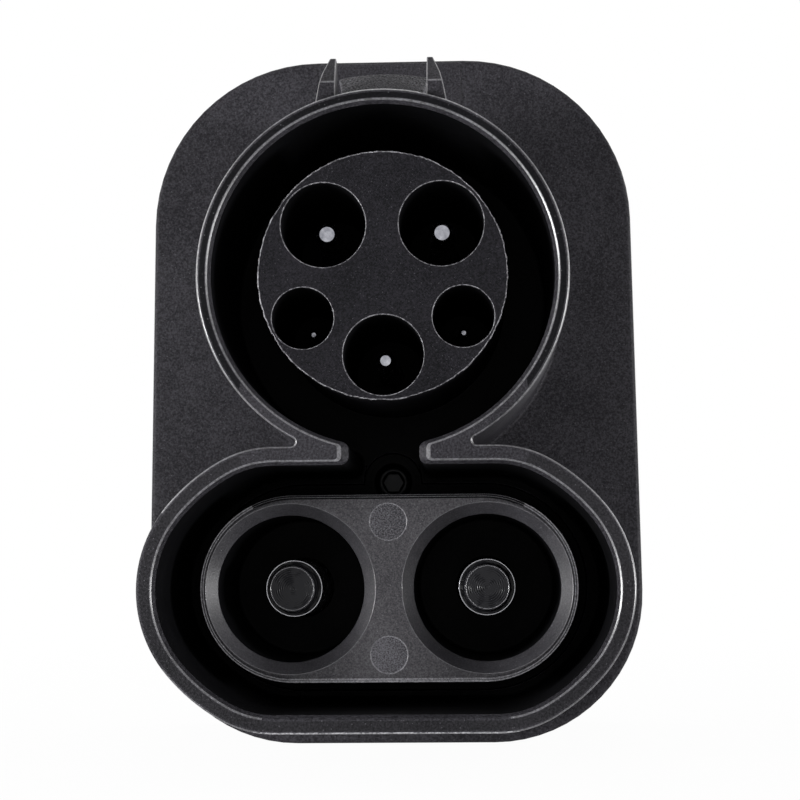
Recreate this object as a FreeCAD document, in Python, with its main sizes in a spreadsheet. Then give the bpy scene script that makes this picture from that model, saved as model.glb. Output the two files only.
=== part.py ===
import FreeCAD, Part
import math
import os
import Sketcher

# Charging adapter: a combined AC and DC inlet face at the front, a car plug at the back.
# Millimetres. +Z is up, the inlet faces -Y, X = 0 is the middle plane.
# Depths are measured from the rim of the inlet's shroud towards the back.

Vector = FreeCAD.Vector

SIZES = {
    # block: a tapered, rounded casing that stands on its flat foot
    "body_height": 102.0,
    "foot_half_width": 37.0,
    "crown_half_width": 35.2,
    "foot_radius": 22.0,
    "crown_radius": 24.7,
    "shell_wall": 3.2,
    "face_wall": 3.4,
    "front_length": 26.6,
    "rear_length": 22.0,
    "face_edge_round": 0.6,
    "rear_edge_round": 2.0,
    # shroud round the inlet
    "ac_height": 64.6,
    "dc_drop": 41.5,
    "shroud_length": 39.4,
    "cavity_depth": 36.0,
    "ac_shroud_radius": 24.7,
    "ac_shroud_wall": 2.2,
    "dc_shroud_half_width": 32.8,
    "dc_shroud_half_height": 18.85,
    "dc_shroud_wall": 2.5,
    "dc_crown_arc": 14.5,
    "dc_shoulder_arc": 26.0,
    "neck_gap": 9.3,
    "notch_round": 0.55,
    "rim_chamfer": 0.75,
    # latch catch and its guard fins
    "catch_radius": 29.4,
    "catch_start": 5.5,
    "catch_peak": 12.4,
    "catch_end": 15.5,
    "catch_angle": 21.6,
    "fin_inner": 6.1,
    "fin_root": 8.9,
    "fin_shoulder": 7.4,
    "fin_tip": 6.5,
    "fin_shoulder_rise": 4.0,
    "fin_rise": 4.7,
    "fin_front": 1.2,
    "fin_thickness": 6.0,
    "fin_knee": 1.2,
    "fin_slope_run": 3.2,
    "latch_land_width": 21.0,
    "latch_land_height": 0.4,
    # fits
    "slip": 0.1,
    "thread_gap": 0.05,
    "seal_gap": 0.05,
    # AC core
    "ac_face_depth": 1.4,
    "ac_core_radius": 16.5,
    "ac_flange_radius": 19.5,
    "flange_thickness": 3.2,
    "ac_well_depth": 33.0,
    "line_well_radius": 5.65,
    "earth_well_radius": 5.35,
    "signal_well_radius": 4.1,
    "line_spacing": 15.7,
    "line_rise": 6.8,
    "signal_spacing": 21.3,
    "signal_drop": 5.6,
    "earth_drop": 10.6,
    # AC pins
    "line_pin_radius": 1.8,
    "line_tip_radius": 1.075,
    "line_recess": 8.3,
    "earth_pin_radius": 1.4,
    "earth_tip_radius": 0.75,
    "earth_recess": 8.3,
    "signal_pin_radius": 0.75,
    "signal_tip_radius": 0.35,
    "signal_recess": 21.0,
    "pin_nose": 1.6,
    "pin_root_step": 0.25,
    "collar_overhang": 1.2,
    "collar_thickness": 1.5,
    "pin_tail": 7.0,
    # DC boss, wells and base plate
    "dc_spacing": 27.0,
    "dc_boss_depth": 13.7,
    "dc_boss_half_width": 25.95,
    "dc_boss_radius": 12.85,
    "dc_boss_round": 0.65,
    "dc_well_radius": 10.1,
    "dc_well_chamfer": 1.6,
    "dc_well_depth": 26.3,
    "dc_base_margin": 2.2,
    "dc_flange_margin": 2.8,
    "ejector_radius": 2.57,
    "ejector_depth": 0.12,
    "ejector_offset": 9.1,
    # DC pins, caps and seals
    "dc_pin_radius": 4.0,
    "dc_pin_recess": 6.9,
    "dc_pin_edge": 0.3,
    "dc_collar_radius": 6.5,
    "dc_collar_thickness": 3.0,
    "dc_tail_radius": 5.0,
    "dc_tail": 5.0,
    "cap_height": 3.4,
    "cap_tip_radius": 3.13,
    "cap_base_radius": 3.7,
    "cap_stem_radius": 1.5,
    "cap_stem": 6.0,
    "cap_ring_depth": 0.12,
    "seal_section": 0.74,
    # screws
    "screw_edge": 5.1,
    "boss_radius": 3.0,
    "screw_radius": 1.45,
    "screw_length": 16.0,
    "screw_head_radius": 2.8,
    "screw_head_height": 2.2,
    "screw_sink": 16.0,
    "screw_tube_radius": 4.2,
    "small_screw_radius": 1.2,
    "small_screw_length": 8.0,
    "small_head_radius": 2.2,
    "small_head_height": 1.5,
    "hex_recess": 1.35,
    "hex_depth": 1.0,
    "floor_screw_rise": 15.35,
    "floor_screw_radius": 1.25,
    "floor_screw_length": 9.4,
    "floor_head_radius": 2.45,
    "floor_head_height": 1.8,
    "floor_screw_recess": 1.5,
    "floor_sink_radius": 2.75,
    "floor_sink_depth": 3.0,
    "floor_lug_radius": 4.2,
    # pin retainer
    "retainer_thickness": 3.0,
    "retainer_low": 9.5,
    "retainer_foot_half": 21.0,
    "retainer_ear_half": 29.5,
    "retainer_ear_rise": 8.4,
    "retainer_radius": 7.0,
    "retainer_disc_radius": 22.0,
    "retainer_screw_drop": 21.1,
    "retainer_screw_low_half": 17.5,
    "retainer_screw_rise": 4.4,
    "retainer_screw_high_half": 25.5,
    # gaskets
    "gasket_inset": 1.0,
    "gasket_width": 1.2,
    "gasket_depth": 1.0,
    # rear taper and collar
    "shoulder_width": 8.5,
    "taper_length": 16.0,
    "collar_length": 6.0,
    "collar_low": 29.0,
    "collar_high": 87.0,
    "collar_foot_half": 25.0,
    "collar_crown_half": 27.5,
    "collar_foot_radius": 18.0,
    "collar_crown_radius": 19.0,
    # plug nose
    "nose_length": 40.0,
    "nose_low": 40.0,
    "nose_high": 76.0,
    "nose_foot_half": 15.5,
    "nose_crown_half": 22.8,
    "nose_foot_radius": 11.0,
    "nose_crown_radius": 13.0,
    "nose_edge_round": 1.4,
    "nose_flange_thickness": 3.0,
    "nose_lip": 2.6,
    "lock_notch_width": 7.0,
    "lock_notch_length": 7.0,
    "lock_notch_depth": 2.5,
    "lock_notch_setback": 10.0,
    "nose_screw_low": 36.5,
    "nose_screw_low_half": 13.0,
    "nose_screw_high": 80.0,
    "nose_screw_high_half": 12.0,
    "nose_head_radius": 2.0,
    # plug contacts
    "power_spacing": 22.5,
    "power_height": 64.5,
    "power_bore_radius": 4.5,
    "power_tube_radius": 6.2,
    "power_bore_depth": 32.0,
    "power_flange_radius": 7.4,
    "socket_flange_thickness": 4.0,
    "band_width": 8.0,
    "band_thickness": 0.5,
    "band_setback": 20.0,
    "plug_earth_height": 47.0,
    "plug_earth_bore": 3.0,
    "plug_earth_tube": 3.9,
    "plug_signal_spacing": 18.6,
    "plug_signal_height": 48.0,
    "plug_signal_bore": 1.1,
    "plug_signal_tube": 1.8,
    "small_bore_depth": 24.0,
    "small_flange_overhang": 1.0,
    "small_flange_thickness": 1.5,
    "small_tail": 1.5,
    # busbars
    "busbar_thickness": 3.0,
    "busbar_inner": 7.0,
    "busbar_width": 11.5,
    "busbar_level": 51.0,
    "busbar_bend": 1.5,
    "busbar_overlap": 6.5,
    "busbar_bolt_radius": 1.65,
    "busbar_bolt_length": 8.0,
    "busbar_bolt_hole": 2.1,
    "busbar_head_radius": 3.5,
    "busbar_head_height": 2.6,
    # signal board, cut-off and leads
    "board_half_width": 6.0,
    "board_low": 16.0,
    "board_high": 35.0,
    "board_thickness": 1.6,
    "board_post_radius": 2.2,
    "board_post_length": 3.0,
    "board_screw_low": 19.5,
    "board_screw_high": 31.5,
    "board_screw_radius": 0.75,
    "board_screw_length": 4.2,
    "board_head_radius": 1.4,
    "board_head_height": 1.0,
    "switch_length": 14.0,
    "switch_width": 9.5,
    "switch_height": 4.0,
    "switch_setback": 16.0,
    "signal_wire_radius": 1.05,
    "earth_wire_radius": 1.6,
    "wire_bend": 3.4,
    "signal_wire_reach": 3.2,
    "signal_lead_start": 5.0,
    "signal_lead_cross": 14.0,
    "signal_lead_turn": 24.0,
    "signal_lead_end": 8.0,
    "earth_lead_start": 6.0,
    "earth_lead_rise": 18.0,
}

# the DC shroud's corners are three arcs that meet at these angles from its crown
SHOULDER_FROM = math.radians(30.0)
SHOULDER_TO = math.radians(50.0)
DIAGONAL = math.sqrt(0.5)

doc = FreeCAD.newDocument("charging_adapter")
sheet = doc.addObject("Spreadsheet::Sheet", "Sizes")
for row, (alias, number) in enumerate(SIZES.items(), start=1):
    sheet.set(f"A{row}", alias)
    sheet.set(f"B{row}", str(number))
    sheet.setAlias(f"B{row}", alias)
doc.recompute()


class Size:
    """A length that carries its number and the sheet formula that gives it."""

    def __init__(self, number, formula):
        self.number = number
        self.formula = formula

    def __add__(self, other):
        other = as_size(other)
        return Size(self.number + other.number, f"({self.formula} + {other.formula})")

    def __radd__(self, other):
        return as_size(other) + self

    def __sub__(self, other):
        other = as_size(other)
        return Size(self.number - other.number, f"({self.formula} - {other.formula})")

    def __rsub__(self, other):
        return as_size(other) - self

    def __mul__(self, other):
        other = as_size(other)
        return Size(self.number * other.number, f"({self.formula} * {other.formula})")

    def __rmul__(self, other):
        return as_size(other) * self

    def __truediv__(self, other):
        other = as_size(other)
        return Size(self.number / other.number, f"({self.formula} / {other.formula})")

    def __neg__(self):
        return Size(-self.number, f"(0 - {self.formula})")


def as_size(value):
    if isinstance(value, Size):
        return value
    return Size(float(value), f"{float(value):.9f}")


def root(size):
    return Size(math.sqrt(size.number), f"sqrt({size.formula})")


class Sheet:
    """The driving sizes by name."""

    def __getattr__(self, alias):
        return Size(float(SIZES[alias]), f"Sizes.{alias}")


s = Sheet()
ZERO = as_size(0)

# depths from the rim
floor = s.cavity_depth
face = s.shroud_length
inner_face = face + s.face_wall
retainer_front = inner_face + s.flange_thickness
retainer_back = retainer_front + s.retainer_thickness
parting = face + s.front_length
rear_face = parting + s.rear_length
collar_start = rear_face + s.taper_length
collar_end = collar_start + s.collar_length
nose_tip = collar_end + s.nose_length
nose_flange_back = collar_start - s.nose_flange_thickness
dc_pin_tip = s.dc_boss_depth + s.dc_pin_recess
dc_well_floor = s.dc_boss_depth + s.dc_well_depth
ac_well_floor = s.ac_face_depth + s.ac_well_depth
dc_pin_end = retainer_back + s.dc_tail
socket_end = nose_flange_back - s.socket_flange_thickness
dc_height = s.ac_height - s.dc_drop
dc_half = s.dc_spacing / 2
power_half = s.power_spacing / 2
middle = nose_tip / 2


def bind(item, prop, size):
    """Set a property from the sheet."""
    item.setExpression(prop, as_size(size).formula)


def seat(item, across=ZERO, depth=ZERO, height=ZERO):
    """Place a sub-part: its own origin goes to this depth from the rim."""
    bind(item, "Placement.Base.x", across)
    bind(item, "Placement.Base.y", depth - middle)
    bind(item, "Placement.Base.z", height)
    doc.recompute()


def new_body(name):
    body = doc.addObject("PartDesign::Body", name)
    body.Label = name
    return body


def sketch_on(body, plane, name, lift=ZERO, raise_by=ZERO):
    """A sketch on one of the body's own planes, lifted along its normal or raised in it."""
    sketch = body.newObject("Sketcher::SketchObject", name)
    for feature in body.Origin.OriginFeatures:
        if feature.Role == plane:
            sketch.AttachmentSupport = [(feature, "")]
    sketch.MapMode = "FlatFace"
    bind(sketch, "AttachmentOffset.Base.z", lift)
    bind(sketch, "AttachmentOffset.Base.y", raise_by)
    doc.recompute()
    return sketch


def front_sketch(body, name, depth):
    """A sketch seen from the front: across is X, up is Z, at a depth from the rim."""
    return sketch_on(body, "XZ_Plane", name, -as_size(depth))


def dimension(sketch, kind, size, *place):
    index = sketch.addConstraint(Sketcher.Constraint(kind, *place, as_size(size).number))
    sketch.setExpression(f"Constraints[{index}]", as_size(size).formula)


def fix_point(sketch, shape, end, across, along):
    """Hold a point at its distances from the sketch's origin."""
    for kind, axis, size in (("DistanceX", -2, across), ("DistanceY", -1, along)):
        if as_size(size).number == 0:
            sketch.addConstraint(Sketcher.Constraint("PointOnObject", shape, end, axis))
        else:
            dimension(sketch, kind, size, -1, 1, shape, end)


def draw_circle(sketch, radius, across=ZERO, along=ZERO):
    centre = Vector(as_size(across).number, as_size(along).number, 0)
    circle = sketch.addGeometry(Part.Circle(centre, Vector(0, 0, 1), as_size(radius).number))
    fix_point(sketch, circle, 3, across, along)
    dimension(sketch, "Radius", radius, circle)


def draw_outline(sketch, points):
    """A closed anticlockwise outline. A point's third value is the radius of the arc
    that runs from it to the next point: above zero it bulges outwards, below inwards."""
    sides = []
    for index, point in enumerate(points):
        after = points[(index + 1) % len(points)]
        start = Vector(as_size(point[0]).number, as_size(point[1]).number, 0)
        end = Vector(as_size(after[0]).number, as_size(after[1]).number, 0)
        if len(point) == 2:
            line = sketch.addGeometry(Part.LineSegment(start, end))
            sides.append((line, 1, 2))
            continue
        radius = point[2].number
        chord = end - start
        rise = math.sqrt(max(radius**2 - (chord.Length / 2) ** 2, 0.0))
        left = Vector(-chord.y, chord.x, 0).normalize()
        centre = (start + end) / 2 + left * math.copysign(rise, radius)
        from_angle = math.atan2(start.y - centre.y, start.x - centre.x)
        to_angle = math.atan2(end.y - centre.y, end.x - centre.x)
        circle = Part.Circle(centre, Vector(0, 0, 1), abs(radius))
        if radius > 0:
            arc = sketch.addGeometry(Part.ArcOfCircle(circle, from_angle, to_angle))
            sides.append((arc, 1, 2))
            dimension(sketch, "Radius", point[2], arc)
        else:
            arc = sketch.addGeometry(Part.ArcOfCircle(circle, to_angle, from_angle))
            sides.append((arc, 2, 1))
            dimension(sketch, "Radius", -point[2], arc)
    for index, side in enumerate(sides):
        after = sides[(index + 1) % len(sides)]
        sketch.addConstraint(Sketcher.Constraint("Coincident", side[0], side[2], after[0], after[1]))
        fix_point(sketch, side[0], side[1], points[index][0], points[index][1])


def solid_change(body, feature, sign):
    """Recompute and make sure that the feature added or removed material."""
    before = feature.BaseFeature.Shape.Volume if feature.BaseFeature else 0.0
    doc.recompute()
    change = feature.Shape.Volume - before
    if change * sign <= 0:
        raise RuntimeError(f"{body.Label}: {feature.Label} changed nothing")


def pad(body, name, sketch, length):
    """Material from the sketch towards the back."""
    feature = body.newObject("PartDesign::Pad", name)
    feature.Profile = sketch
    feature.Reversed = True
    bind(feature, "Length", length)
    solid_change(body, feature, 1)
    return feature


def pocket(body, name, sketch, length):
    """A cut from the sketch towards the back."""
    feature = body.newObject("PartDesign::Pocket", name)
    feature.Profile = sketch
    feature.Reversed = False
    bind(feature, "Length", length)
    solid_change(body, feature, -1)
    return feature


def pocket_both_ways(body, name, sketch, width):
    """A cut of a given width, half to each side of the sketch."""
    feature = body.newObject("PartDesign::Pocket", name)
    feature.Profile = sketch
    feature.Midplane = True
    bind(feature, "Length", width)
    solid_change(body, feature, -1)
    return feature


def turn(body, name, sketch):
    """Revolve a profile about the sketch's own upright axis."""
    feature = body.newObject("PartDesign::Revolution", name)
    feature.Profile = sketch
    feature.ReferenceAxis = (sketch, ["V_Axis"])
    feature.Angle = 360.0
    solid_change(body, feature, 1)
    return feature


def edges_where(body, test):
    return [f"Edge{index}" for index, edge in enumerate(body.Tip.Shape.Edges, start=1) if test(edge)]


def round_edges(body, name, radius, test):
    names = edges_where(body, test)
    feature = body.newObject("PartDesign::Fillet", name)
    feature.Base = (feature.BaseFeature, names)
    bind(feature, "Radius", radius)
    doc.recompute()
    return feature


def chamfer_edges(body, name, size, test):
    names = edges_where(body, test)
    feature = body.newObject("PartDesign::Chamfer", name)
    feature.Base = (feature.BaseFeature, names)
    bind(feature, "Size", size)
    doc.recompute()
    return feature


def lies_at(edge, depth):
    """The whole edge lies in the upright plane at this depth."""
    box = edge.BoundBox
    return abs(box.YMin - depth.number) < 1e-3 and abs(box.YMax - depth.number) < 1e-3


def block_outline(low, high, foot_half, crown_half, foot_radius, crown_radius, inset=ZERO):
    """Four sides and four round corners: foot and crown level, the sides leaning."""
    lean = foot_half - crown_half
    height = high - low
    slant = root(height * height + lean * lean)
    across = height / slant
    up = lean / slant
    foot_x = foot_half - (foot_radius * slant + lean * foot_radius) / height
    crown_x = foot_half - (crown_radius * slant + lean * (height - crown_radius)) / height
    foot_z = low + foot_radius
    crown_z = high - crown_radius
    foot_r = foot_radius - inset
    crown_r = crown_radius - inset
    foot_side = (foot_x + foot_r * across, foot_z + foot_r * up)
    crown_side = (crown_x + crown_r * across, crown_z + crown_r * up)
    return [
        (-foot_x, low + inset),
        (foot_x, low + inset, foot_r),
        foot_side,
        (*crown_side, crown_r),
        (crown_x, high - inset),
        (-crown_x, high - inset, crown_r),
        (-crown_side[0], crown_side[1]),
        (-foot_side[0], foot_side[1], foot_r),
    ]


def corner_centre(radius, at_crown):
    """Centre of one of the block's corner arcs, on the right."""
    lean = s.foot_half_width - s.crown_half_width
    slant = root(s.body_height * s.body_height + lean * lean)
    height = s.body_height - radius if at_crown else radius
    across = s.foot_half_width - (radius * slant + lean * height) / s.body_height
    return across, height


def casing_outline(inset=ZERO):
    return block_outline(
        ZERO, s.body_height, s.foot_half_width, s.crown_half_width, s.foot_radius, s.crown_radius, as_size(inset)
    )


def collar_outline(inset=ZERO):
    return block_outline(
        s.collar_low,
        s.collar_high,
        s.collar_foot_half,
        s.collar_crown_half,
        s.collar_foot_radius,
        s.collar_crown_radius,
        as_size(inset),
    )


def nose_outline(inset=ZERO):
    return block_outline(
        s.nose_low,
        s.nose_high,
        s.nose_foot_half,
        s.nose_crown_half,
        s.nose_foot_radius,
        s.nose_crown_radius,
        as_size(inset),
    )


def dc_shroud_outline(inset=ZERO):
    """The lower lobe of the shroud: level crown and foot, three arcs to each corner."""
    inset = as_size(inset)
    crown_arc = s.dc_crown_arc - inset
    shoulder_arc = s.dc_shoulder_arc - inset
    crown_sin, shoulder_sin = math.sin(SHOULDER_FROM), math.sin(SHOULDER_TO)
    crown_cos, shoulder_cos = math.cos(SHOULDER_FROM), math.cos(SHOULDER_TO)
    crown_fall = s.dc_crown_arc * (1 - crown_cos)
    shoulder_fall = s.dc_shoulder_arc * (crown_cos - shoulder_cos)
    side_arc = (s.dc_shroud_half_height - crown_fall - shoulder_fall) / shoulder_cos
    shoulder_run = s.dc_shoulder_arc * (shoulder_sin - crown_sin)
    crown_x = s.dc_shroud_half_width - side_arc * (1 - shoulder_sin) - shoulder_run - s.dc_crown_arc * crown_sin
    half_height = s.dc_shroud_half_height - inset
    first = (crown_x + crown_arc * crown_sin, half_height - crown_arc * (1 - crown_cos))
    second = (
        first[0] + shoulder_arc * (shoulder_sin - crown_sin),
        first[1] - shoulder_arc * (crown_cos - shoulder_cos),
    )
    side_arc = side_arc - inset
    up = dc_height
    return [
        (-crown_x, up - half_height),
        (crown_x, up - half_height, crown_arc),
        (first[0], up - first[1], shoulder_arc),
        (second[0], up - second[1], side_arc),
        (second[0], up + second[1], shoulder_arc),
        (first[0], up + first[1], crown_arc),
        (crown_x, up + half_height),
        (-crown_x, up + half_height, crown_arc),
        (-first[0], up + first[1], shoulder_arc),
        (-second[0], up + second[1], side_arc),
        (-second[0], up - second[1], shoulder_arc),
        (-first[0], up - first[1], crown_arc),
    ]


def stadium(half_width, radius, height):
    """Two half circles joined by level lines. Each half circle is drawn as two quarters."""
    run = half_width - radius
    return [
        (-run, height - radius),
        (run, height - radius, radius),
        (run + radius, height, radius),
        (run, height + radius),
        (-run, height + radius, radius),
        (-run - radius, height, radius),
    ]


def box_outline(left, right, low, high):
    return [(left, low), (right, low), (right, high), (left, high)]


def outline_sketch(body, name, depth, *outlines):
    sketch = front_sketch(body, name, depth)
    for outline in outlines:
        draw_outline(sketch, outline)
    return sketch


def circles_sketch(body, name, depth, circles):
    """circles: (radius, across, height)"""
    sketch = front_sketch(body, name, depth)
    for radius, across, height in circles:
        draw_circle(sketch, radius, across, height)
    return sketch


def turned(name, profile):
    """A turned sub-part: its profile is (radius, depth from its own front)."""
    body = new_body(name)
    sketch = sketch_on(body, "XY_Plane", f"{name}_profile")
    draw_outline(sketch, profile)
    turn(body, f"{name}_turned", sketch)
    return body


def both_sides(places):
    """Each place and its mirror image across the middle plane."""
    return [(side * across, height) for across, height in places for side in (-1, 1)]


def group(name, master, places):
    """Separate copies of one small part in one node: places are (across, depth, height)
    and, for a copy that faces the other way, a fourth value of half a turn."""
    copies = []
    for across, depth, height, *half_turn in places:
        copy = master.Tip.Shape.copy()
        if half_turn:
            copy.rotate(Vector(0, 0, 0), Vector(0, 0, 1), 180)
        copy.translate(Vector(across.number, (depth - middle).number, height.number))
        copies.append(copy)
    node = doc.addObject("Part::Feature", name)
    node.Label = name
    node.Shape = Part.makeCompound(copies)
    node.Placement = FreeCAD.Placement()
    return node


# places that several sub-parts share
foot_corner = corner_centre(s.foot_radius, False)
crown_corner = corner_centre(s.crown_radius, True)
foot_reach = (s.foot_radius - s.screw_edge) * DIAGONAL
crown_reach = (s.crown_radius - s.screw_edge) * DIAGONAL
CASING_SCREWS = both_sides(
    [
        (foot_corner[0] + foot_reach, foot_corner[1] - foot_reach),
        (crown_corner[0] + crown_reach, crown_corner[1] + crown_reach),
    ]
)
RETAINER_SCREWS = both_sides(
    [
        (s.retainer_screw_low_half, s.ac_height - s.retainer_screw_drop),
        (s.retainer_screw_high_half, s.ac_height + s.retainer_screw_rise),
    ]
)
NOSE_SCREWS = both_sides(
    [
        (s.nose_screw_low_half, s.nose_screw_low),
        (s.nose_screw_high_half, s.nose_screw_high),
    ]
)
floor_screw_height = dc_height + s.floor_screw_rise
line_height = s.ac_height + s.line_rise
signal_height = s.ac_height - s.signal_drop
earth_height = s.ac_height - s.earth_drop
# AC contacts: name, across, height, well radius, pin radius, tip radius, recess
AC_CONTACTS = [
    ("line_pin_left", -s.line_spacing / 2, line_height, s.line_well_radius, s.line_pin_radius,
     s.line_tip_radius, s.line_recess),
    ("line_pin_right", s.line_spacing / 2, line_height, s.line_well_radius, s.line_pin_radius,
     s.line_tip_radius, s.line_recess),
    ("pilot_pin", -s.signal_spacing / 2, signal_height, s.signal_well_radius, s.signal_pin_radius,
     s.signal_tip_radius, s.signal_recess),
    ("proximity_pin", s.signal_spacing / 2, signal_height, s.signal_well_radius, s.signal_pin_radius,
     s.signal_tip_radius, s.signal_recess),
    ("earth_pin", ZERO, earth_height, s.earth_well_radius, s.earth_pin_radius,
     s.earth_tip_radius, s.earth_recess),
]


def front_housing():
    """Block front, shroud, latch catch and fins in one moulding."""
    body = new_body("front_housing")
    pad(body, "block", outline_sketch(body, "block_outline", face, casing_outline()), s.front_length)
    round_edges(body, "face_edge", s.face_edge_round, lambda edge: lies_at(edge, face))

    # the shroud's two lobes run into the face wall
    root_length = inner_face
    ac_lobe = circles_sketch(body, "ac_lobe_circle", ZERO, [(s.ac_shroud_radius, ZERO, s.ac_height)])
    pad(body, "ac_lobe", ac_lobe, root_length)
    pad(body, "dc_lobe", outline_sketch(body, "dc_lobe_outline", ZERO, dc_shroud_outline()), root_length)
    lobe_top = (dc_height + s.dc_shroud_half_height).number

    def in_notch(edge):
        box = edge.BoundBox
        upright = box.ZMax - box.ZMin < 1e-3 and box.XMax - box.XMin < 1e-3
        near = abs(box.ZMax - lobe_top) < 1e-3 and box.YMin < 1e-3
        reach = math.sqrt(max(s.ac_shroud_radius.number**2 - (s.ac_height.number - lobe_top) ** 2, 0.0))
        return upright and near and abs(abs(box.XMax) - reach) < 1e-2

    round_edges(body, "notch", s.notch_round, in_notch)

    # catch: a ramp that lifts the plug's latch, with a step behind it
    root_radius = s.ac_shroud_radius - s.ac_shroud_wall / 2
    catch = sketch_on(body, "YZ_Plane", "catch_profile", ZERO, s.ac_height)
    draw_outline(
        catch,
        [
            (s.catch_start, root_radius),
            (s.catch_end, root_radius),
            (s.catch_end, s.catch_radius),
            (s.catch_peak, s.catch_radius),
            (s.catch_start, s.ac_shroud_radius),
        ],
    )
    ramp = body.newObject("PartDesign::Revolution", "catch")
    ramp.Profile = catch
    ramp.ReferenceAxis = (catch, ["H_Axis"])
    ramp.Midplane = True
    bind(ramp, "Angle", s.catch_angle)
    solid_change(body, ramp, 1)

    # fins: upright in front, then sloping back to the tip
    fin_foot = s.ac_height + s.ac_shroud_radius - s.fin_shoulder_rise / 2 - s.ac_shroud_wall / 2
    shoulder = s.ac_height + s.ac_shroud_radius + s.fin_shoulder_rise
    tip = s.ac_height + s.ac_shroud_radius + s.fin_rise
    right_fin = [(s.fin_inner, fin_foot), (s.fin_root, fin_foot), (s.fin_shoulder, shoulder),
                 (s.fin_tip, tip), (s.fin_inner, tip)]
    left_fin = [(-across, height) for across, height in reversed(right_fin)]
    pad(body, "fins", outline_sketch(body, "fin_outlines", s.fin_front, right_fin, left_fin), s.fin_thickness)
    knee = s.ac_shroud_radius + s.fin_knee
    fin_top = s.ac_shroud_radius + s.fin_rise
    slope = sketch_on(body, "YZ_Plane", "fin_slope_profile", ZERO, s.ac_height)
    draw_outline(
        slope,
        [
            (s.fin_front, knee),
            (s.fin_front + s.fin_slope_run, fin_top),
            (s.fin_front + s.fin_slope_run, fin_top + 1),
            (s.fin_front - 1, fin_top + 1),
            (s.fin_front - 1, knee),
        ],
    )
    pocket_both_ways(body, "fin_slope", slope, s.fin_root * 2 + 2)

    # low land behind the latch
    land = box_outline(
        -s.latch_land_width / 2,
        s.latch_land_width / 2,
        s.ac_height + s.ac_shroud_radius - s.catch_start,
        s.body_height - s.face_edge_round,
    )
    land_start = face - s.latch_land_height
    pad(body, "latch_land", outline_sketch(body, "latch_land_outline", land_start, land),
        s.latch_land_height + s.face_edge_round)

    # cavity: both lobes and the gap in the neck between them
    ac_bore = s.ac_shroud_radius - s.ac_shroud_wall
    cavity = circles_sketch(body, "ac_cavity_circle", ZERO, [(ac_bore, ZERO, s.ac_height)])
    pocket(body, "ac_cavity", cavity, floor)
    inner_lobe = dc_shroud_outline(s.dc_shroud_wall)
    pocket(body, "dc_cavity", outline_sketch(body, "dc_cavity_outline", ZERO, inner_lobe), floor)
    gap = box_outline(
        -s.neck_gap / 2,
        s.neck_gap / 2,
        dc_height + s.dc_shroud_half_height - s.dc_shroud_wall * 2,
        s.ac_height - ac_bore + s.ac_shroud_wall,
    )
    pocket(body, "neck", outline_sketch(body, "neck_outline", ZERO, gap), floor)
    rim = [item for item in body.Tip.Shape.Faces if lies_at(item, ZERO)]
    rim_inner = [wire for item in rim for wire in item.Wires if not wire.isSame(item.OuterWire)]
    inner_edges = [edge for wire in rim_inner for edge in wire.Edges]
    chamfer_edges(body, "rim_edge", s.rim_chamfer, lambda edge: any(edge.isSame(other) for other in inner_edges))

    # openings in the floor for the two insulators
    through = inner_face - floor
    hole = circles_sketch(body, "ac_core_hole_circle", floor, [(s.ac_core_radius + s.slip, ZERO, s.ac_height)])
    pocket(body, "ac_core_hole", hole, through)
    base_half = s.dc_boss_half_width + s.dc_base_margin + s.slip
    base_radius = s.dc_boss_radius + s.dc_base_margin + s.slip
    base = outline_sketch(body, "dc_base_hole_outline", floor, stadium(base_half, base_radius, dc_height))
    pocket(body, "dc_base_hole", base, through)
    lug = circles_sketch(body, "lug_hole_circle", floor, [(s.floor_lug_radius + s.slip, ZERO, floor_screw_height)])
    pocket(body, "lug_hole", lug, through)

    # hollow behind the face wall, with bosses for both sets of screws
    hollow = outline_sketch(body, "hollow_outline", inner_face, casing_outline(s.shell_wall))
    pocket(body, "hollow", hollow, parting - inner_face)
    boss_root = inner_face - s.face_wall / 2
    tall = circles_sketch(body, "casing_boss_circles", boss_root, [(s.boss_radius, *at) for at in CASING_SCREWS])
    pad(body, "casing_bosses", tall, parting - boss_root)
    short = circles_sketch(body, "retainer_boss_circles", boss_root, [(s.boss_radius, *at) for at in RETAINER_SCREWS])
    pad(body, "retainer_bosses", short, retainer_front - boss_root)
    casing_bore = s.screw_radius + s.thread_gap
    casing_depth = s.screw_length - (rear_face - s.screw_sink - parting) + 1
    holes = circles_sketch(body, "casing_bore_circles", parting - casing_depth, [(casing_bore, *at) for at in CASING_SCREWS])
    pocket(body, "casing_bores", holes, casing_depth)
    small_bore = s.small_screw_radius + s.thread_gap
    small_depth = s.small_screw_length - s.retainer_thickness + 0.3
    holes = circles_sketch(
        body, "retainer_bore_circles", retainer_front - small_depth, [(small_bore, *at) for at in RETAINER_SCREWS]
    )
    pocket(body, "retainer_bores", holes, small_depth)

    # gasket groove in the parting face
    groove = outline_sketch(
        body,
        "gasket_groove_outline",
        parting - s.gasket_depth,
        casing_outline(s.gasket_inset),
        casing_outline(s.gasket_inset + s.gasket_width),
    )
    pocket(body, "gasket_groove", groove, s.gasket_depth)
    seat(body)
    return body


def housing_gasket():
    """Square-section ring in the groove between the casing halves."""
    body = new_body("housing_gasket")
    ring = outline_sketch(
        body,
        "gasket_outline",
        parting - s.gasket_depth,
        casing_outline(s.gasket_inset + s.seal_gap),
        casing_outline(s.gasket_inset + s.gasket_width - s.seal_gap),
    )
    pad(body, "gasket", ring, s.gasket_depth)
    seat(body)
    return body


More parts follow.
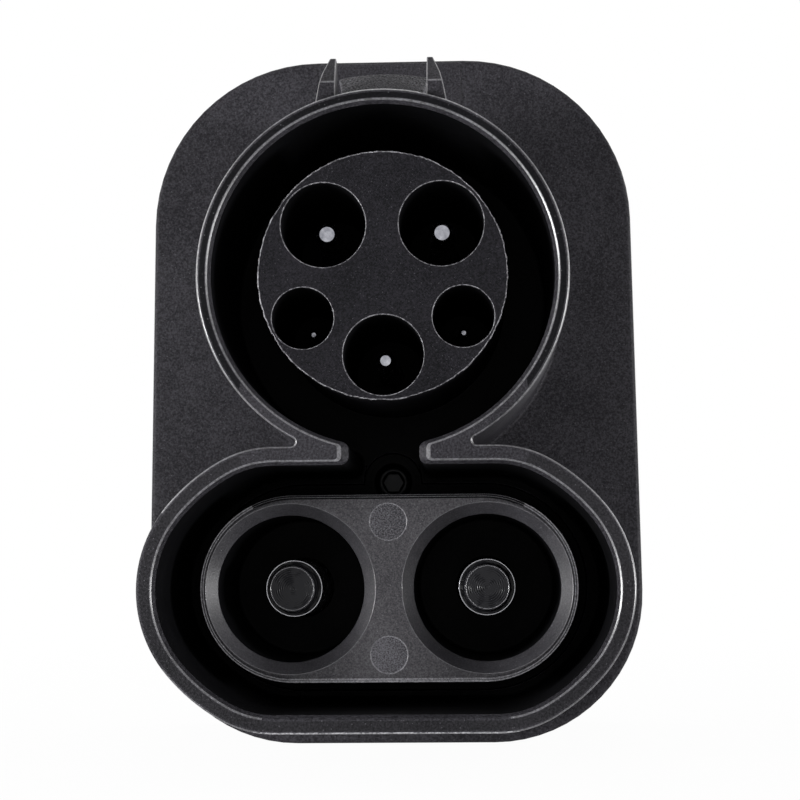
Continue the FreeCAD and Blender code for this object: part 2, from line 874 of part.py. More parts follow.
def ac_insulator():
    """Round core with five wells, held by a flange behind the floor."""
    body = new_body("ac_insulator")
    core = circles_sketch(body, "core_circle", s.ac_face_depth, [(s.ac_core_radius, ZERO, s.ac_height)])
    pad(body, "core", core, retainer_front - s.ac_face_depth)
    flange = circles_sketch(body, "flange_circle", inner_face, [(s.ac_flange_radius, ZERO, s.ac_height)])
    pad(body, "flange", flange, s.flange_thickness)
    for name, across, height, well, pin, _tip, _recess in AC_CONTACTS:
        mouth = circles_sketch(body, f"{name}_well_circle", s.ac_face_depth, [(well, across, height)])
        pocket(body, f"{name}_well", mouth, s.ac_well_depth)
        shank = pin + s.pin_root_step + s.slip
        hole = circles_sketch(body, f"{name}_hole_circle", ac_well_floor, [(shank, across, height)])
        pocket(body, f"{name}_hole", hole, retainer_front - ac_well_floor)
        collar_front = retainer_front - s.collar_thickness
        collar = circles_sketch(
            body, f"{name}_collar_circle", collar_front, [(pin + s.collar_overhang + s.slip, across, height)]
        )
        pocket(body, f"{name}_collar_seat", collar, s.collar_thickness)
    seat(body)
    return body


def ac_pin(name, across, height, _well, pin, tip, recess):
    """Turned pin: bevelled nose, shank, thicker root, collar behind it, tail for its lead."""
    collar_end = retainer_front - s.ac_face_depth - recess
    collar_start = collar_end - s.collar_thickness
    tail_end = collar_end + s.retainer_thickness + s.pin_tail
    collar = pin + s.collar_overhang
    root_start = s.ac_well_depth - recess
    thick = pin + s.pin_root_step
    profile = [
        (ZERO, ZERO),
        (tip, ZERO),
        (pin, s.pin_nose),
        (pin, root_start),
        (thick, root_start),
        (thick, collar_start),
        (collar, collar_start),
        (collar, collar_end),
        (thick, collar_end),
        (thick, tail_end),
        (ZERO, tail_end),
    ]
    body = turned(name, profile)
    seat(body, across, s.ac_face_depth + recess, height)
    return body


def dc_insulator():
    """Two-well boss on a base plate, with a lug for the floor screw."""
    body = new_body("dc_insulator")
    boss = stadium(s.dc_boss_half_width, s.dc_boss_radius, dc_height)
    pad(body, "boss", outline_sketch(body, "boss_outline", s.dc_boss_depth, boss), retainer_front - s.dc_boss_depth)
    round_edges(body, "boss_edge", s.dc_boss_round, lambda edge: lies_at(edge, s.dc_boss_depth))
    margin = s.dc_base_margin
    base = stadium(s.dc_boss_half_width + margin, s.dc_boss_radius + margin, dc_height)
    pad(body, "base", outline_sketch(body, "base_outline", floor, base), retainer_front - floor)
    lug = circles_sketch(body, "lug_circle", floor, [(s.floor_lug_radius, ZERO, floor_screw_height)])
    pad(body, "lug", lug, retainer_front - floor)
    margin = s.dc_flange_margin
    flange = stadium(s.dc_boss_half_width + margin, s.dc_boss_radius + margin, dc_height)
    pad(body, "flange", outline_sketch(body, "flange_outline", inner_face, flange), s.flange_thickness)

    pins = [(-dc_half, dc_height), (dc_half, dc_height)]
    wells = circles_sketch(body, "well_circles", s.dc_boss_depth, [(s.dc_well_radius, *at) for at in pins])
    pocket(body, "wells", wells, s.dc_well_depth)

    def is_mouth(edge):
        round_edge = isinstance(edge.Curve, Part.Circle) and abs(edge.Curve.Radius - s.dc_well_radius.number) < 1e-3
        return round_edge and lies_at(edge, s.dc_boss_depth)

    chamfer_edges(body, "well_mouths", s.dc_well_chamfer, is_mouth)
    marks = circles_sketch(
        body,
        "ejector_circles",
        s.dc_boss_depth,
        [(s.ejector_radius, ZERO, dc_height + s.ejector_offset), (s.ejector_radius, ZERO, dc_height - s.ejector_offset)],
    )
    pocket(body, "ejector_marks", marks, s.ejector_depth)

    # pin passages: shank, then the O-ring's seat, then the collar's seat
    root_radius = s.dc_pin_radius + s.pin_root_step
    shank = [(root_radius + s.slip, *at) for at in pins]
    pocket(body, "pin_holes", circles_sketch(body, "pin_hole_circles", dc_well_floor, shank),
           retainer_front - dc_well_floor)
    collar_front = retainer_front - s.dc_collar_thickness
    seal_radius = root_radius + s.seal_section * 2 + s.seal_gap * 2
    seal_depth = s.seal_section * 2 + s.seal_gap
    seals = circles_sketch(body, "seal_seat_circles", collar_front - seal_depth, [(seal_radius, *at) for at in pins])
    pocket(body, "seal_seats", seals, seal_depth)
    collars = [(s.dc_collar_radius + s.slip, *at) for at in pins]
    pocket(body, "collar_seats", circles_sketch(body, "collar_seat_circles", collar_front, collars),
           s.dc_collar_thickness)

    sink = circles_sketch(body, "screw_sink_circle", floor, [(s.floor_sink_radius, ZERO, floor_screw_height)])
    pocket(body, "screw_sink", sink, s.floor_sink_depth)
    hole = [(s.floor_screw_radius + s.slip, ZERO, floor_screw_height)]
    pocket(body, "screw_hole", circles_sketch(body, "screw_hole_circle", floor, hole), retainer_front - floor)
    seat(body)
    return body


def dc_pin(name, side):
    """Thick pin: cap hole in front, root and collar, tapped tail behind."""
    root_start = dc_well_floor - dc_pin_tip
    collar_end = retainer_front - dc_pin_tip
    collar_start = collar_end - s.dc_collar_thickness
    tail_end = dc_pin_end - dc_pin_tip
    bolt_bore = s.busbar_bolt_radius + s.thread_gap
    bolt_depth = s.busbar_bolt_length - s.busbar_thickness + 1
    cap_bore = s.cap_stem_radius + s.slip
    profile = [
        (ZERO, s.cap_stem + 0.4),
        (cap_bore, s.cap_stem + 0.4),
        (cap_bore, ZERO),
        (s.dc_pin_radius - s.dc_pin_edge, ZERO),
        (s.dc_pin_radius, s.dc_pin_edge),
        (s.dc_pin_radius, root_start),
        (s.dc_pin_radius + s.pin_root_step, root_start),
        (s.dc_pin_radius + s.pin_root_step, collar_start),
        (s.dc_collar_radius, collar_start),
        (s.dc_collar_radius, collar_end),
        (s.dc_tail_radius, collar_end),
        (s.dc_tail_radius, tail_end),
        (bolt_bore, tail_end),
        (bolt_bore, tail_end - bolt_depth),
        (ZERO, tail_end - bolt_depth),
    ]
    body = turned(name, profile)
    seat(body, side * dc_half, dc_pin_tip, dc_height)
    return body


def dc_cap(name, side):
    """Black finger-safe cap: flat turned tip, sloping shoulder, stem in the pin."""
    ring = s.cap_tip_radius / 3
    profile = [
        (ZERO, ZERO),
        (ring, ZERO),
        (ring, s.cap_ring_depth),
        (ring * 1.3, s.cap_ring_depth),
        (ring * 1.3, ZERO),
        (ring * 2, ZERO),
        (ring * 2, s.cap_ring_depth),
        (ring * 2.3, s.cap_ring_depth),
        (ring * 2.3, ZERO),
        (s.cap_tip_radius, ZERO),
        (s.cap_base_radius, s.cap_height / 3),
        (s.cap_base_radius, s.cap_height),
        (s.cap_stem_radius, s.cap_height),
        (s.cap_stem_radius, s.cap_height + s.cap_stem),
        (ZERO, s.cap_height + s.cap_stem),
    ]
    body = turned(name, profile)
    seat(body, side * dc_half, dc_pin_tip - s.cap_height, dc_height)
    return body


def o_ring(name, radius, section):
    """A torus as a revolved circle, its own front at the ring's middle."""
    body = new_body(name)
    sketch = sketch_on(body, "XY_Plane", f"{name}_circle")
    draw_circle(sketch, section, radius)
    turn(body, f"{name}_ring", sketch)
    return body


def screw(name, radius, length, head_radius, head_height, recess, recess_depth, head_side=1):
    """Round-headed screw along Y. Its seat is at its own origin and its head lies
    behind the seat, or in front of it when head_side is -1."""
    body = new_body(name)
    sketch = sketch_on(body, "XY_Plane", f"{name}_profile")
    outline = [
        (ZERO, -length),
        (radius * 0.7, -length),
        (radius, -length + radius * 0.5),
        (radius, ZERO),
        (head_radius, ZERO),
        (head_radius, head_height * 0.6),
        (head_radius * 0.8, head_height),
        (ZERO, head_height),
    ]
    draw_outline(sketch, [(across, along * head_side) for across, along in outline])
    turn(body, f"{name}_turned", sketch)
    hexagon = front_sketch(body, f"{name}_recess_outline", head_height * head_side)
    corners = [(recess * math.cos(math.radians(60 * k)), recess * math.sin(math.radians(60 * k))) for k in range(6)]
    draw_outline(hexagon, corners)
    feature = body.newObject("PartDesign::Pocket", f"{name}_recess")
    feature.Profile = hexagon
    feature.Reversed = head_side > 0
    bind(feature, "Length", recess_depth)
    solid_change(body, feature, -1)
    return body


def pin_retainer():
    """Plate behind both insulators that traps every pin's collar."""
    body = new_body("pin_retainer")
    outline = block_outline(
        s.retainer_low,
        s.ac_height + s.retainer_ear_rise,
        s.retainer_foot_half,
        s.retainer_ear_half,
        s.retainer_radius,
        s.retainer_radius,
    )
    pad(body, "plate", outline_sketch(body, "plate_outline", retainer_front, outline), s.retainer_thickness)
    disc = circles_sketch(body, "disc_circle", retainer_front, [(s.retainer_disc_radius, ZERO, s.ac_height)])
    pad(body, "disc", disc, s.retainer_thickness)
    posts = [(ZERO, s.board_screw_low), (ZERO, s.board_screw_high)]
    post_circles = [(s.board_post_radius, *at) for at in posts]
    pad(body, "board_posts", circles_sketch(body, "board_post_circles", retainer_front, post_circles),
        s.retainer_thickness + s.board_post_length)
    thick = s.pin_root_step + s.slip
    tails = [(pin + thick, across, height) for _name, across, height, _well, pin, _tip, _recess in AC_CONTACTS]
    tails += [(s.dc_tail_radius + s.slip, side * dc_half, dc_height) for side in (-1, 1)]
    tails += [(s.small_screw_radius + s.slip, *at) for at in RETAINER_SCREWS]
    tails += [(s.floor_screw_radius + s.thread_gap, ZERO, floor_screw_height)]
    pocket(body, "holes", circles_sketch(body, "hole_circles", retainer_front, tails), s.retainer_thickness)
    bore = s.board_screw_radius + s.thread_gap
    bore_depth = s.board_screw_length - s.board_thickness + 0.3
    bores = circles_sketch(
        body,
        "post_bore_circles",
        retainer_back + s.board_post_length - bore_depth,
        [(bore, *at) for at in posts],
    )
    pocket(body, "post_bores", bores, bore_depth)
    seat(body)
    return body


def rear_housing():
    """Block back that narrows to a collar round the plug nose."""
    body = new_body("rear_housing")
    pad(body, "block", outline_sketch(body, "block_outline", parting, casing_outline()), s.rear_length)
    round_edges(body, "rear_edge", s.rear_edge_round, lambda edge: lies_at(edge, rear_face))
    root_sketch = outline_sketch(body, "taper_root_outline", rear_face, casing_outline(s.shoulder_width))
    end_sketch = outline_sketch(body, "taper_end_outline", collar_start, collar_outline())
    taper = body.newObject("PartDesign::AdditiveLoft", "taper")
    taper.Profile = root_sketch
    taper.Sections = [end_sketch]
    solid_change(body, taper, 1)
    pad(body, "collar", outline_sketch(body, "collar_outline", collar_start, collar_outline()), s.collar_length)

    # hollow: block, taper, then the seat of the nose's flange
    block_hollow = outline_sketch(body, "block_hollow_outline", parting, casing_outline(s.shell_wall))
    pocket(body, "block_hollow", block_hollow, s.rear_length - s.shell_wall)
    hollow_start = rear_face - s.shell_wall
    from_sketch = outline_sketch(
        body, "taper_hollow_root", hollow_start, casing_outline(s.shoulder_width + s.shell_wall)
    )
    to_sketch = outline_sketch(body, "taper_hollow_end", nose_flange_back, collar_outline(s.shell_wall))
    hollow = body.newObject("PartDesign::SubtractiveLoft", "taper_hollow")
    hollow.Profile = from_sketch
    hollow.Sections = [to_sketch]
    solid_change(body, hollow, -1)
    flange_seat = outline_sketch(body, "flange_seat_outline", nose_flange_back, collar_outline(s.shell_wall))
    pocket(body, "flange_seat", flange_seat, s.nose_flange_thickness)
    window = outline_sketch(body, "nose_window_outline", collar_start, nose_outline(-s.slip))
    pocket(body, "nose_window", window, s.collar_length)

    # screw tubes to the parting face
    tubes = [(s.screw_tube_radius, *at) for at in CASING_SCREWS]
    pad(body, "screw_tubes", circles_sketch(body, "screw_tube_circles", parting, tubes),
        s.rear_length - s.shell_wall / 2)
    clearance = [(s.screw_radius + s.slip, *at) for at in CASING_SCREWS]
    pocket(body, "screw_holes", circles_sketch(body, "screw_hole_circles", parting, clearance), s.rear_length)
    sinks = [(s.screw_head_radius + s.slip * 3, *at) for at in CASING_SCREWS]
    pocket(body, "screw_sinks", circles_sketch(body, "screw_sink_circles", rear_face - s.screw_sink, sinks),
           s.screw_sink)
    bores = [(s.small_screw_radius + s.thread_gap, *at) for at in NOSE_SCREWS]
    bore_depth = s.collar_length - 1
    pocket(body, "nose_bores", circles_sketch(body, "nose_bore_circles", collar_start, bores), bore_depth)
    seat(body)
    return body


def plug_nose():
    """Insulator of the car plug, its flange clamped inside the collar."""
    body = new_body("plug_nose")
    flange = outline_sketch(
        body, "flange_outline", nose_flange_back, collar_outline(s.shell_wall + s.slip * 3)
    )
    pad(body, "flange", flange, s.nose_flange_thickness)
    pad(body, "nose", outline_sketch(body, "nose_outline", nose_flange_back, nose_outline()),
        nose_tip - nose_flange_back)
    round_edges(body, "nose_edge", s.nose_edge_round, lambda edge: lies_at(edge, nose_tip))
    power = [(side * power_half, s.power_height) for side in (-1, 1)]
    signals = [(side * s.plug_signal_spacing / 2, s.plug_signal_height) for side in (-1, 1)]
    tubes = [(s.power_tube_radius + s.slip, *at) for at in power]
    tubes += [(s.plug_signal_tube + s.slip, *at) for at in signals]
    tubes += [(s.plug_earth_tube + s.slip, ZERO, s.plug_earth_height)]
    pocket(body, "tube_holes", circles_sketch(body, "tube_hole_circles", nose_flange_back, tubes),
           nose_tip - s.nose_lip - nose_flange_back)
    lips = [(s.power_bore_radius + s.slip * 3, *at) for at in power]
    lips += [(s.plug_signal_bore + s.slip * 2, *at) for at in signals]
    lips += [(s.plug_earth_bore + s.slip * 3, ZERO, s.plug_earth_height)]
    pocket(body, "mouths", circles_sketch(body, "mouth_circles", nose_tip - s.nose_lip, lips), s.nose_lip)
    notch = box_outline(
        -s.lock_notch_width / 2,
        s.lock_notch_width / 2,
        s.nose_high - s.lock_notch_depth,
        s.nose_high + 1,
    )
    notch_start = nose_tip - s.lock_notch_setback - s.lock_notch_length
    pocket(body, "lock_notch", outline_sketch(body, "lock_notch_outline", notch_start, notch), s.lock_notch_length)
    groove = outline_sketch(
        body,
        "seal_groove_outline",
        collar_start - s.gasket_depth,
        nose_outline(-(s.gasket_inset + s.gasket_width)),
        nose_outline(-s.gasket_inset),
    )
    pocket(body, "seal_groove", groove, s.gasket_depth)
    holes = [(s.small_screw_radius + s.slip, *at) for at in NOSE_SCREWS]
    pocket(body, "screw_holes", circles_sketch(body, "screw_hole_circles", nose_flange_back, holes),
           s.nose_flange_thickness)
    seat(body)
    return body


def nose_seal():
    """Flat ring between the nose's flange and the collar."""
    body = new_body("nose_seal")
    ring = outline_sketch(
        body,
        "seal_outline",
        collar_start - s.gasket_depth,
        nose_outline(-(s.gasket_inset + s.gasket_width - s.seal_gap)),
        nose_outline(-(s.gasket_inset + s.seal_gap)),
    )
    pad(body, "seal", ring, s.gasket_depth)
    seat(body)
    return body


def power_socket(name, side):
    """Tube contact with a groove for its sprung band and a bolted flange behind."""
    front = nose_tip - s.nose_lip - socket_end
    bore_end = front - s.power_bore_depth
    band_front = front - s.band_setback
    band_back = band_front - s.band_width
    groove = s.power_bore_radius + s.band_thickness + s.seal_gap
    bolt_bore = s.busbar_bolt_radius + s.thread_gap
    bolt_depth = s.busbar_bolt_length - s.busbar_thickness + 1
    profile = [
        (ZERO, bolt_depth),
        (bolt_bore, bolt_depth),
        (bolt_bore, ZERO),
        (s.power_flange_radius, ZERO),
        (s.power_flange_radius, s.socket_flange_thickness),
        (s.power_tube_radius, s.socket_flange_thickness),
        (s.power_tube_radius, front),
        (s.power_bore_radius, front),
        (s.power_bore_radius, band_front),
        (groove, band_front),
        (groove, band_back),
        (s.power_bore_radius, band_back),
        (s.power_bore_radius, bore_end),
        (ZERO, bore_end),
    ]
    body = turned(name, profile)
    seat(body, side * power_half, socket_end, s.power_height)
    return body


def small_socket(name, across, height, bore, tube):
    """Turned contact tube: a flange against the nose and a short tail for its lead."""
    start = s.small_flange_thickness + s.small_tail
    front = nose_tip - s.nose_lip - nose_flange_back + start
    profile = [
        (ZERO, ZERO),
        (bore, ZERO),
        (bore, s.small_tail),
        (tube + s.small_flange_overhang, s.small_tail),
        (tube + s.small_flange_overhang, start),
        (tube, start),
        (tube, front),
        (bore, front),
        (bore, front - s.small_bore_depth),
        (ZERO, front - s.small_bore_depth),
    ]
    body = turned(name, profile)
    seat(body, across, nose_flange_back - start, height)
    return body


def busbar(name, side):
    """Copper strip bent twice, from a DC pin's tail up and back to a power socket."""
    body = new_body(name)
    thick = s.busbar_thickness
    inner = s.busbar_bend
    outer = s.busbar_bend + thick
    start = dc_pin_end
    end = socket_end
    level = s.busbar_level
    low = dc_height - s.busbar_overlap
    high = s.power_height + s.busbar_overlap
    strip = [
        (start, low),
        (start + thick, low),
        (start + thick, level - inner, -inner),
        (start + thick + inner, level),
        (end - outer, level, outer),
        (end, level + outer),
        (end, high),
        (end - thick, high),
        (end - thick, level + thick + inner, -inner),
        (end - thick - inner, level + thick),
        (start + outer, level + thick, outer),
        (start, level + thick - outer),
    ]
    near = s.busbar_inner if side > 0 else -(s.busbar_inner + s.busbar_width)
    sketch = sketch_on(body, "YZ_Plane", f"{name}_strip", near)
    draw_outline(sketch, strip)
    feature = body.newObject("PartDesign::Pad", f"{name}_bar")
    feature.Profile = sketch
    bind(feature, "Length", s.busbar_width)
    solid_change(body, feature, 1)
    foot = circles_sketch(body, f"{name}_pin_hole", start, [(s.busbar_bolt_hole, side * dc_half, dc_height)])
    pocket(body, f"{name}_pin_end", foot, thick)
    top = circles_sketch(body, f"{name}_socket_hole", end - thick, [(s.busbar_bolt_hole, side * power_half, s.power_height)])
    pocket(body, f"{name}_socket_end", top, thick)
    seat(body)
    return body


def signal_board():
    """Small board on the retainer's posts with its coding resistor and two blocks."""
    body = new_body("signal_board")
    start = retainer_back + s.board_post_length
    board = box_outline(-s.board_half_width, s.board_half_width, s.board_low, s.board_high)
    pad(body, "board", outline_sketch(body, "board_outline", start, board), s.board_thickness)
    mid = (s.board_low + s.board_high) / 2
    chip = box_outline(-s.board_half_width * 0.7, -s.board_half_width * 0.1, mid - 2, mid + 2)
    resistor = box_outline(s.board_half_width * 0.2, s.board_half_width * 0.7, mid - 3, mid + 3)
    pad(body, "components", outline_sketch(body, "component_outlines", start, chip, resistor),
        s.board_thickness + 1.2)
    holes = [(s.board_screw_radius + s.slip, ZERO, s.board_screw_low),
             (s.board_screw_radius + s.slip, ZERO, s.board_screw_high)]
    pocket(body, "holes", circles_sketch(body, "hole_circles", start, holes), s.board_thickness)
    seat(body)
    return body


def thermal_switch():
    """Temperature cut-off that lies on the left busbar."""
    body = new_body("thermal_switch")
    start = dc_pin_end + s.switch_setback
    left = -(s.busbar_inner + s.busbar_width / 2 + s.switch_width / 2)
    low = s.busbar_level + s.busbar_thickness
    case = box_outline(left, left + s.switch_width, low, low + s.switch_height)
    pad(body, "case", outline_sketch(body, "case_outline", start, case), s.switch_length)
    seat(body)
    return body


def lead(name, radius, points):
    """A short insulated wire: straight runs joined by arcs that touch both."""
    route = [Vector(as_size(x).number, (as_size(y) - middle).number, as_size(z).number) for x, y, z in points]
    bend = s.wire_bend.number
    edges = []
    start = route[0]
    for before, corner, after in zip(route, route[1:], route[2:]):
        arriving = (before - corner).normalize()
        leaving = (after - corner).normalize()
        half = arriving.getAngle(leaving) / 2
        back = bend / math.tan(half)
        enter = corner + arriving * back
        leave = corner + leaving * back
        bisector = (arriving + leaving).normalize()
        crown = corner + bisector * (bend / math.sin(half) - bend)
        edges.append(Part.makeLine(start, enter))
        edges.append(Part.Arc(enter, crown, leave).toShape())
        start = leave
    edges.append(Part.makeLine(start, route[-1]))
    path = Part.Wire(edges)
    circle = Part.Circle(route[0], route[1] - route[0], radius.number)
    tube = path.makePipeShell([Part.Wire([circle.toShape()])], True, False)
    expected = math.pi * radius.number**2 * path.Length
    if abs(tube.Volume - expected) > 0.02 * expected:
        raise RuntimeError(f"{name}: the tube's volume is wrong")
    node = doc.addObject("Part::Feature", name)
    node.Label = name
    node.Shape = tube
    node.Placement = FreeCAD.Placement()
    return node


nodes = [
    front_housing(),
    rear_housing(),
    housing_gasket(),
    ac_insulator(),
    dc_insulator(),
    pin_retainer(),
    plug_nose(),
    nose_seal(),
    signal_board(),
    thermal_switch(),
]
nodes += [ac_pin(*contact) for contact in AC_CONTACTS]
for side, word in ((-1, "left"), (1, "right")):
    nodes.append(dc_pin(f"dc_pin_{word}", side))
    nodes.append(dc_cap(f"dc_cap_{word}", side))
    nodes.append(power_socket(f"power_socket_{word}", side))
    nodes.append(busbar(f"dc_busbar_{word}", side))
nodes.append(small_socket("earth_socket", ZERO, s.plug_earth_height, s.plug_earth_bore, s.plug_earth_tube))
plug_signal_half = s.plug_signal_spacing / 2
for side, word in ((-1, "pilot"), (1, "proximity")):
    nodes.append(small_socket(f"{word}_socket", side * plug_signal_half, s.plug_signal_height,
                              s.plug_signal_bore, s.plug_signal_tube))

# O-rings in the DC insulator, between the pin's shank and the seat's wall
seal_middle = s.dc_pin_radius + s.pin_root_step + s.seal_gap + s.seal_section
seal_ring = o_ring("dc_pin_seal", seal_middle, s.seal_section)
seal_depth = retainer_front - s.dc_collar_thickness - s.seal_section - s.seal_gap / 2
nodes.append(group("dc_pin_seals", seal_ring, [(side * dc_half, seal_depth, dc_height) for side in (-1, 1)]))

# sprung bands inside the power sockets
band_back = nose_tip - s.nose_lip - s.band_setback - s.band_width
band_outer = s.power_bore_radius + s.band_thickness
band_profile = [
    (s.power_bore_radius, ZERO),
    (band_outer, ZERO),
    (band_outer, s.band_width),
    (s.power_bore_radius, s.band_width),
]
band = turned("contact_band", band_profile)
nodes.append(group("contact_bands", band, [(side * power_half, band_back, s.power_height) for side in (-1, 1)]))

# screws: a positive head height puts the head behind the seat, towards the back
casing_screw = screw("housing_screw", s.screw_radius, s.screw_length, s.screw_head_radius,
                     s.screw_head_height, s.hex_recess, s.hex_depth)
casing_seat = rear_face - s.screw_sink
nodes.append(group("housing_screws", casing_screw, [(x, casing_seat, z) for x, z in CASING_SCREWS]))
small_screw = screw("small_screw", s.small_screw_radius, s.small_screw_length, s.small_head_radius,
                    s.small_head_height, s.hex_recess, s.hex_depth)
nodes.append(group("retainer_screws", small_screw, [(x, retainer_back, z) for x, z in RETAINER_SCREWS]))
nose_screw_places = [(x, nose_flange_back, z, True) for x, z in NOSE_SCREWS]
nose_screw = screw("nose_screw", s.small_screw_radius, s.small_screw_length, s.nose_head_radius,
                   s.small_head_height, s.hex_recess * 0.8, s.hex_depth)
nodes.append(group("nose_screws", nose_screw, nose_screw_places))
bar_screw = screw("busbar_screw", s.busbar_bolt_radius, s.busbar_bolt_length, s.busbar_head_radius,
                  s.busbar_head_height, s.hex_recess, s.hex_depth * 1.4)
bar_screw_places = [(side * dc_half, dc_pin_end + s.busbar_thickness, dc_height) for side in (-1, 1)]
bar_screw_places += [(side * power_half, socket_end - s.busbar_thickness, s.power_height, True) for side in (-1, 1)]
nodes.append(group("busbar_screws", bar_screw, bar_screw_places))
floor_screw = screw("floor_screw", s.floor_screw_radius, s.floor_screw_length, s.floor_head_radius,
                    s.floor_head_height, s.floor_screw_recess, s.hex_depth, -1)
seat(floor_screw, ZERO, floor + s.floor_sink_depth, floor_screw_height)
nodes.append(floor_screw)
board_screw = screw("board_screw", s.board_screw_radius, s.board_screw_length, s.board_head_radius,
                    s.board_head_height, s.hex_recess * 0.6, s.hex_depth * 0.6)
board_seat = retainer_back + s.board_post_length + s.board_thickness
board_heights = (s.board_screw_low, s.board_screw_high)
nodes.append(group("board_screws", board_screw, [(ZERO, board_seat, z) for z in board_heights]))

# leads from the pins' tails to the sockets' tails
tail_end = retainer_back + s.pin_tail
socket_tail = nose_flange_back - s.small_flange_thickness - s.small_tail
for side, word in ((-1, "pilot"), (1, "proximity")):
    near = side * s.signal_spacing / 2
    inside = side * s.signal_wire_reach
    far = side * plug_signal_half
    route = [
        (near, tail_end, signal_height),
        (near, tail_end + s.signal_lead_start, signal_height),
        (inside, tail_end + s.signal_lead_cross, signal_height),
        (inside, tail_end + s.signal_lead_turn, s.plug_signal_height),
        (far, socket_tail - s.signal_lead_end, s.plug_signal_height),
        (far, socket_tail, s.plug_signal_height),
    ]
    nodes.append(lead(f"{word}_lead", s.signal_wire_radius, route))
earth_route = [
    (ZERO, tail_end, earth_height),
    (ZERO, tail_end + s.earth_lead_start, earth_height),
    (ZERO, tail_end + s.earth_lead_rise, s.plug_earth_height),
    (ZERO, socket_tail, s.plug_earth_height),
]
nodes.append(lead("earth_lead", s.earth_wire_radius, earth_route))

doc.recompute()
for item in doc.Objects:
    if "Invalid" in item.State or "Error" in item.State:
        raise RuntimeError(f"{item.Label}: {item.State}")
os.makedirs("parts", exist_ok=True)
for node in nodes:
    shape = node.Shape
    if shape.isNull() or not shape.isValid() or not shape.Solids:
        raise RuntimeError(f"{node.Label}: no valid solid")
for node in nodes:
    node.Shape.exportStep(f"parts/{node.Label}.step")
    print(node.Label, len(node.Shape.Solids), round(node.Shape.Volume, 1))
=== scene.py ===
"""Charging adapter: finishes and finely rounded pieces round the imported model."""

import math
import random

import bmesh
import bpy
from mathutils import Matrix, Vector


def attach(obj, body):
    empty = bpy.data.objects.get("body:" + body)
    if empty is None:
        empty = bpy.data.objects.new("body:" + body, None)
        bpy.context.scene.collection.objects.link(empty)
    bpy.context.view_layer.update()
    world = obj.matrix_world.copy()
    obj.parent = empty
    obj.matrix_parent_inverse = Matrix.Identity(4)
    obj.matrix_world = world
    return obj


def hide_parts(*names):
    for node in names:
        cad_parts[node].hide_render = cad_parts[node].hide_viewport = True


bl_info = {
    "name": "Charging adapter",
    "version": (1, 0, 0),
    "blender": (4, 5, 0),
    "location": "View3D > Sidebar > Adapter",
    "description": "Builds the adapter's moulded shells, pins and screws, its finishes and its studio",
    "category": "Object",
}

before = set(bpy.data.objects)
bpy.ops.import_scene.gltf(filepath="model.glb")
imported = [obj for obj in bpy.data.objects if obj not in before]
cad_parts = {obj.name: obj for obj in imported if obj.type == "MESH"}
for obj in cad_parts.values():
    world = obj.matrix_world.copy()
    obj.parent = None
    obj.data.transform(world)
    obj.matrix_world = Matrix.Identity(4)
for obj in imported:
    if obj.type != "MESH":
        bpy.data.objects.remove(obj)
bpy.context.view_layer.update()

# sizes in millimetres: depths run from the shroud's rim to the back, heights from the foot
MM = 0.001
RIM_TO_MIDDLE = 75.0
SLIP = 0.1

# the casing, which is a rounded block that narrows to a collar and ends in the plug nose
CASING = {"low": 0.0, "high": 102.0, "foot": 37.0, "crown": 35.2, "foot_radius": 22.0, "crown_radius": 24.7}
COLLAR = {"low": 29.0, "high": 87.0, "foot": 25.0, "crown": 27.5, "foot_radius": 18.0, "crown_radius": 19.0}
NOSE = {"low": 40.0, "high": 76.0, "foot": 15.5, "crown": 22.8, "foot_radius": 11.0, "crown_radius": 13.0}
FACE_DEPTH = 39.4
FACE_WALL_BACK = 42.8
SHELL_WALL = 3.2
PARTING_DEPTH = 66.0
SCREW_SEAT = 72.0
SCREW_EDGE = 5.1
SCREW_SHANK = 1.45
SCREW_SINK = 3.1
REAR_DEPTH = 88.0
SHOULDER = 8.5
COLLAR_START = 104.0
COLLAR_END = 110.0
NOSE_FLANGE = 101.0
NOSE_TIP = 150.0
NOSE_LIP = 2.6

# the shroud: two lobes whose cavities join through a gap in the neck
AC_HEIGHT = 64.6
AC_SHROUD_RADIUS = 24.7
AC_BORE_RADIUS = 22.5
BORE_EXTRA = 0.27
DC_HEIGHT = 23.1
# half width, half height, crown arc and shoulder arc
DC_SHROUD = (32.8, 18.85, 14.5, 26.0)
DC_SHROUD_WALL = 2.5
FLOOR_DEPTH = 36.0
NECK_HALF = 4.65
NECK_CORNER = 1.1
NECK_EXTRA = 1.2
NOTCH_ROUND = 0.55
CATCH_HALF_ANGLE = 12.2
LAND_HALF_WIDTH = 10.5
FIN_INNER = 6.1
FIN_BACK = 7.2

# where wear, painted shadow and painted highlight change the finish of the rim and of the edges
PLAIN_RIM_ABOVE = 50.0
WEB_ABOVE = 12.0
WEB_HALF = 19.0
NO_HIGHLIGHT_LEFT_OF = -29.5
LOW_EDGE = 6.6
FOOT_LINE = 24.0
INNER_LINE = 16.0
SHADED_ABOVE = 11.2

# the AC core with its five wells, and the DC boss with its two
AC_CORE_RADIUS = 16.5
AC_FLANGE_RADIUS = 19.5
AC_FACE_DEPTH = 1.4
AC_WELL_FLOOR = 34.4
BOSS_HALF_WIDTH = 25.95
BOSS_RADIUS = 12.85
DC_FACE_DEPTH = 13.7
DC_WELL_RADIUS = 10.1
DC_WELL_FLOOR = 40.0
CHAMFER_END = 1.75
MARK_SPACING = 9.1
MARK_SINK = 0.12
BASE_MARGIN = 2.2
LUG_HEIGHT = 38.45
LUG_RADIUS = 4.2
LUG_SINK = 3.0
RETAINER_DEPTH = 46.0

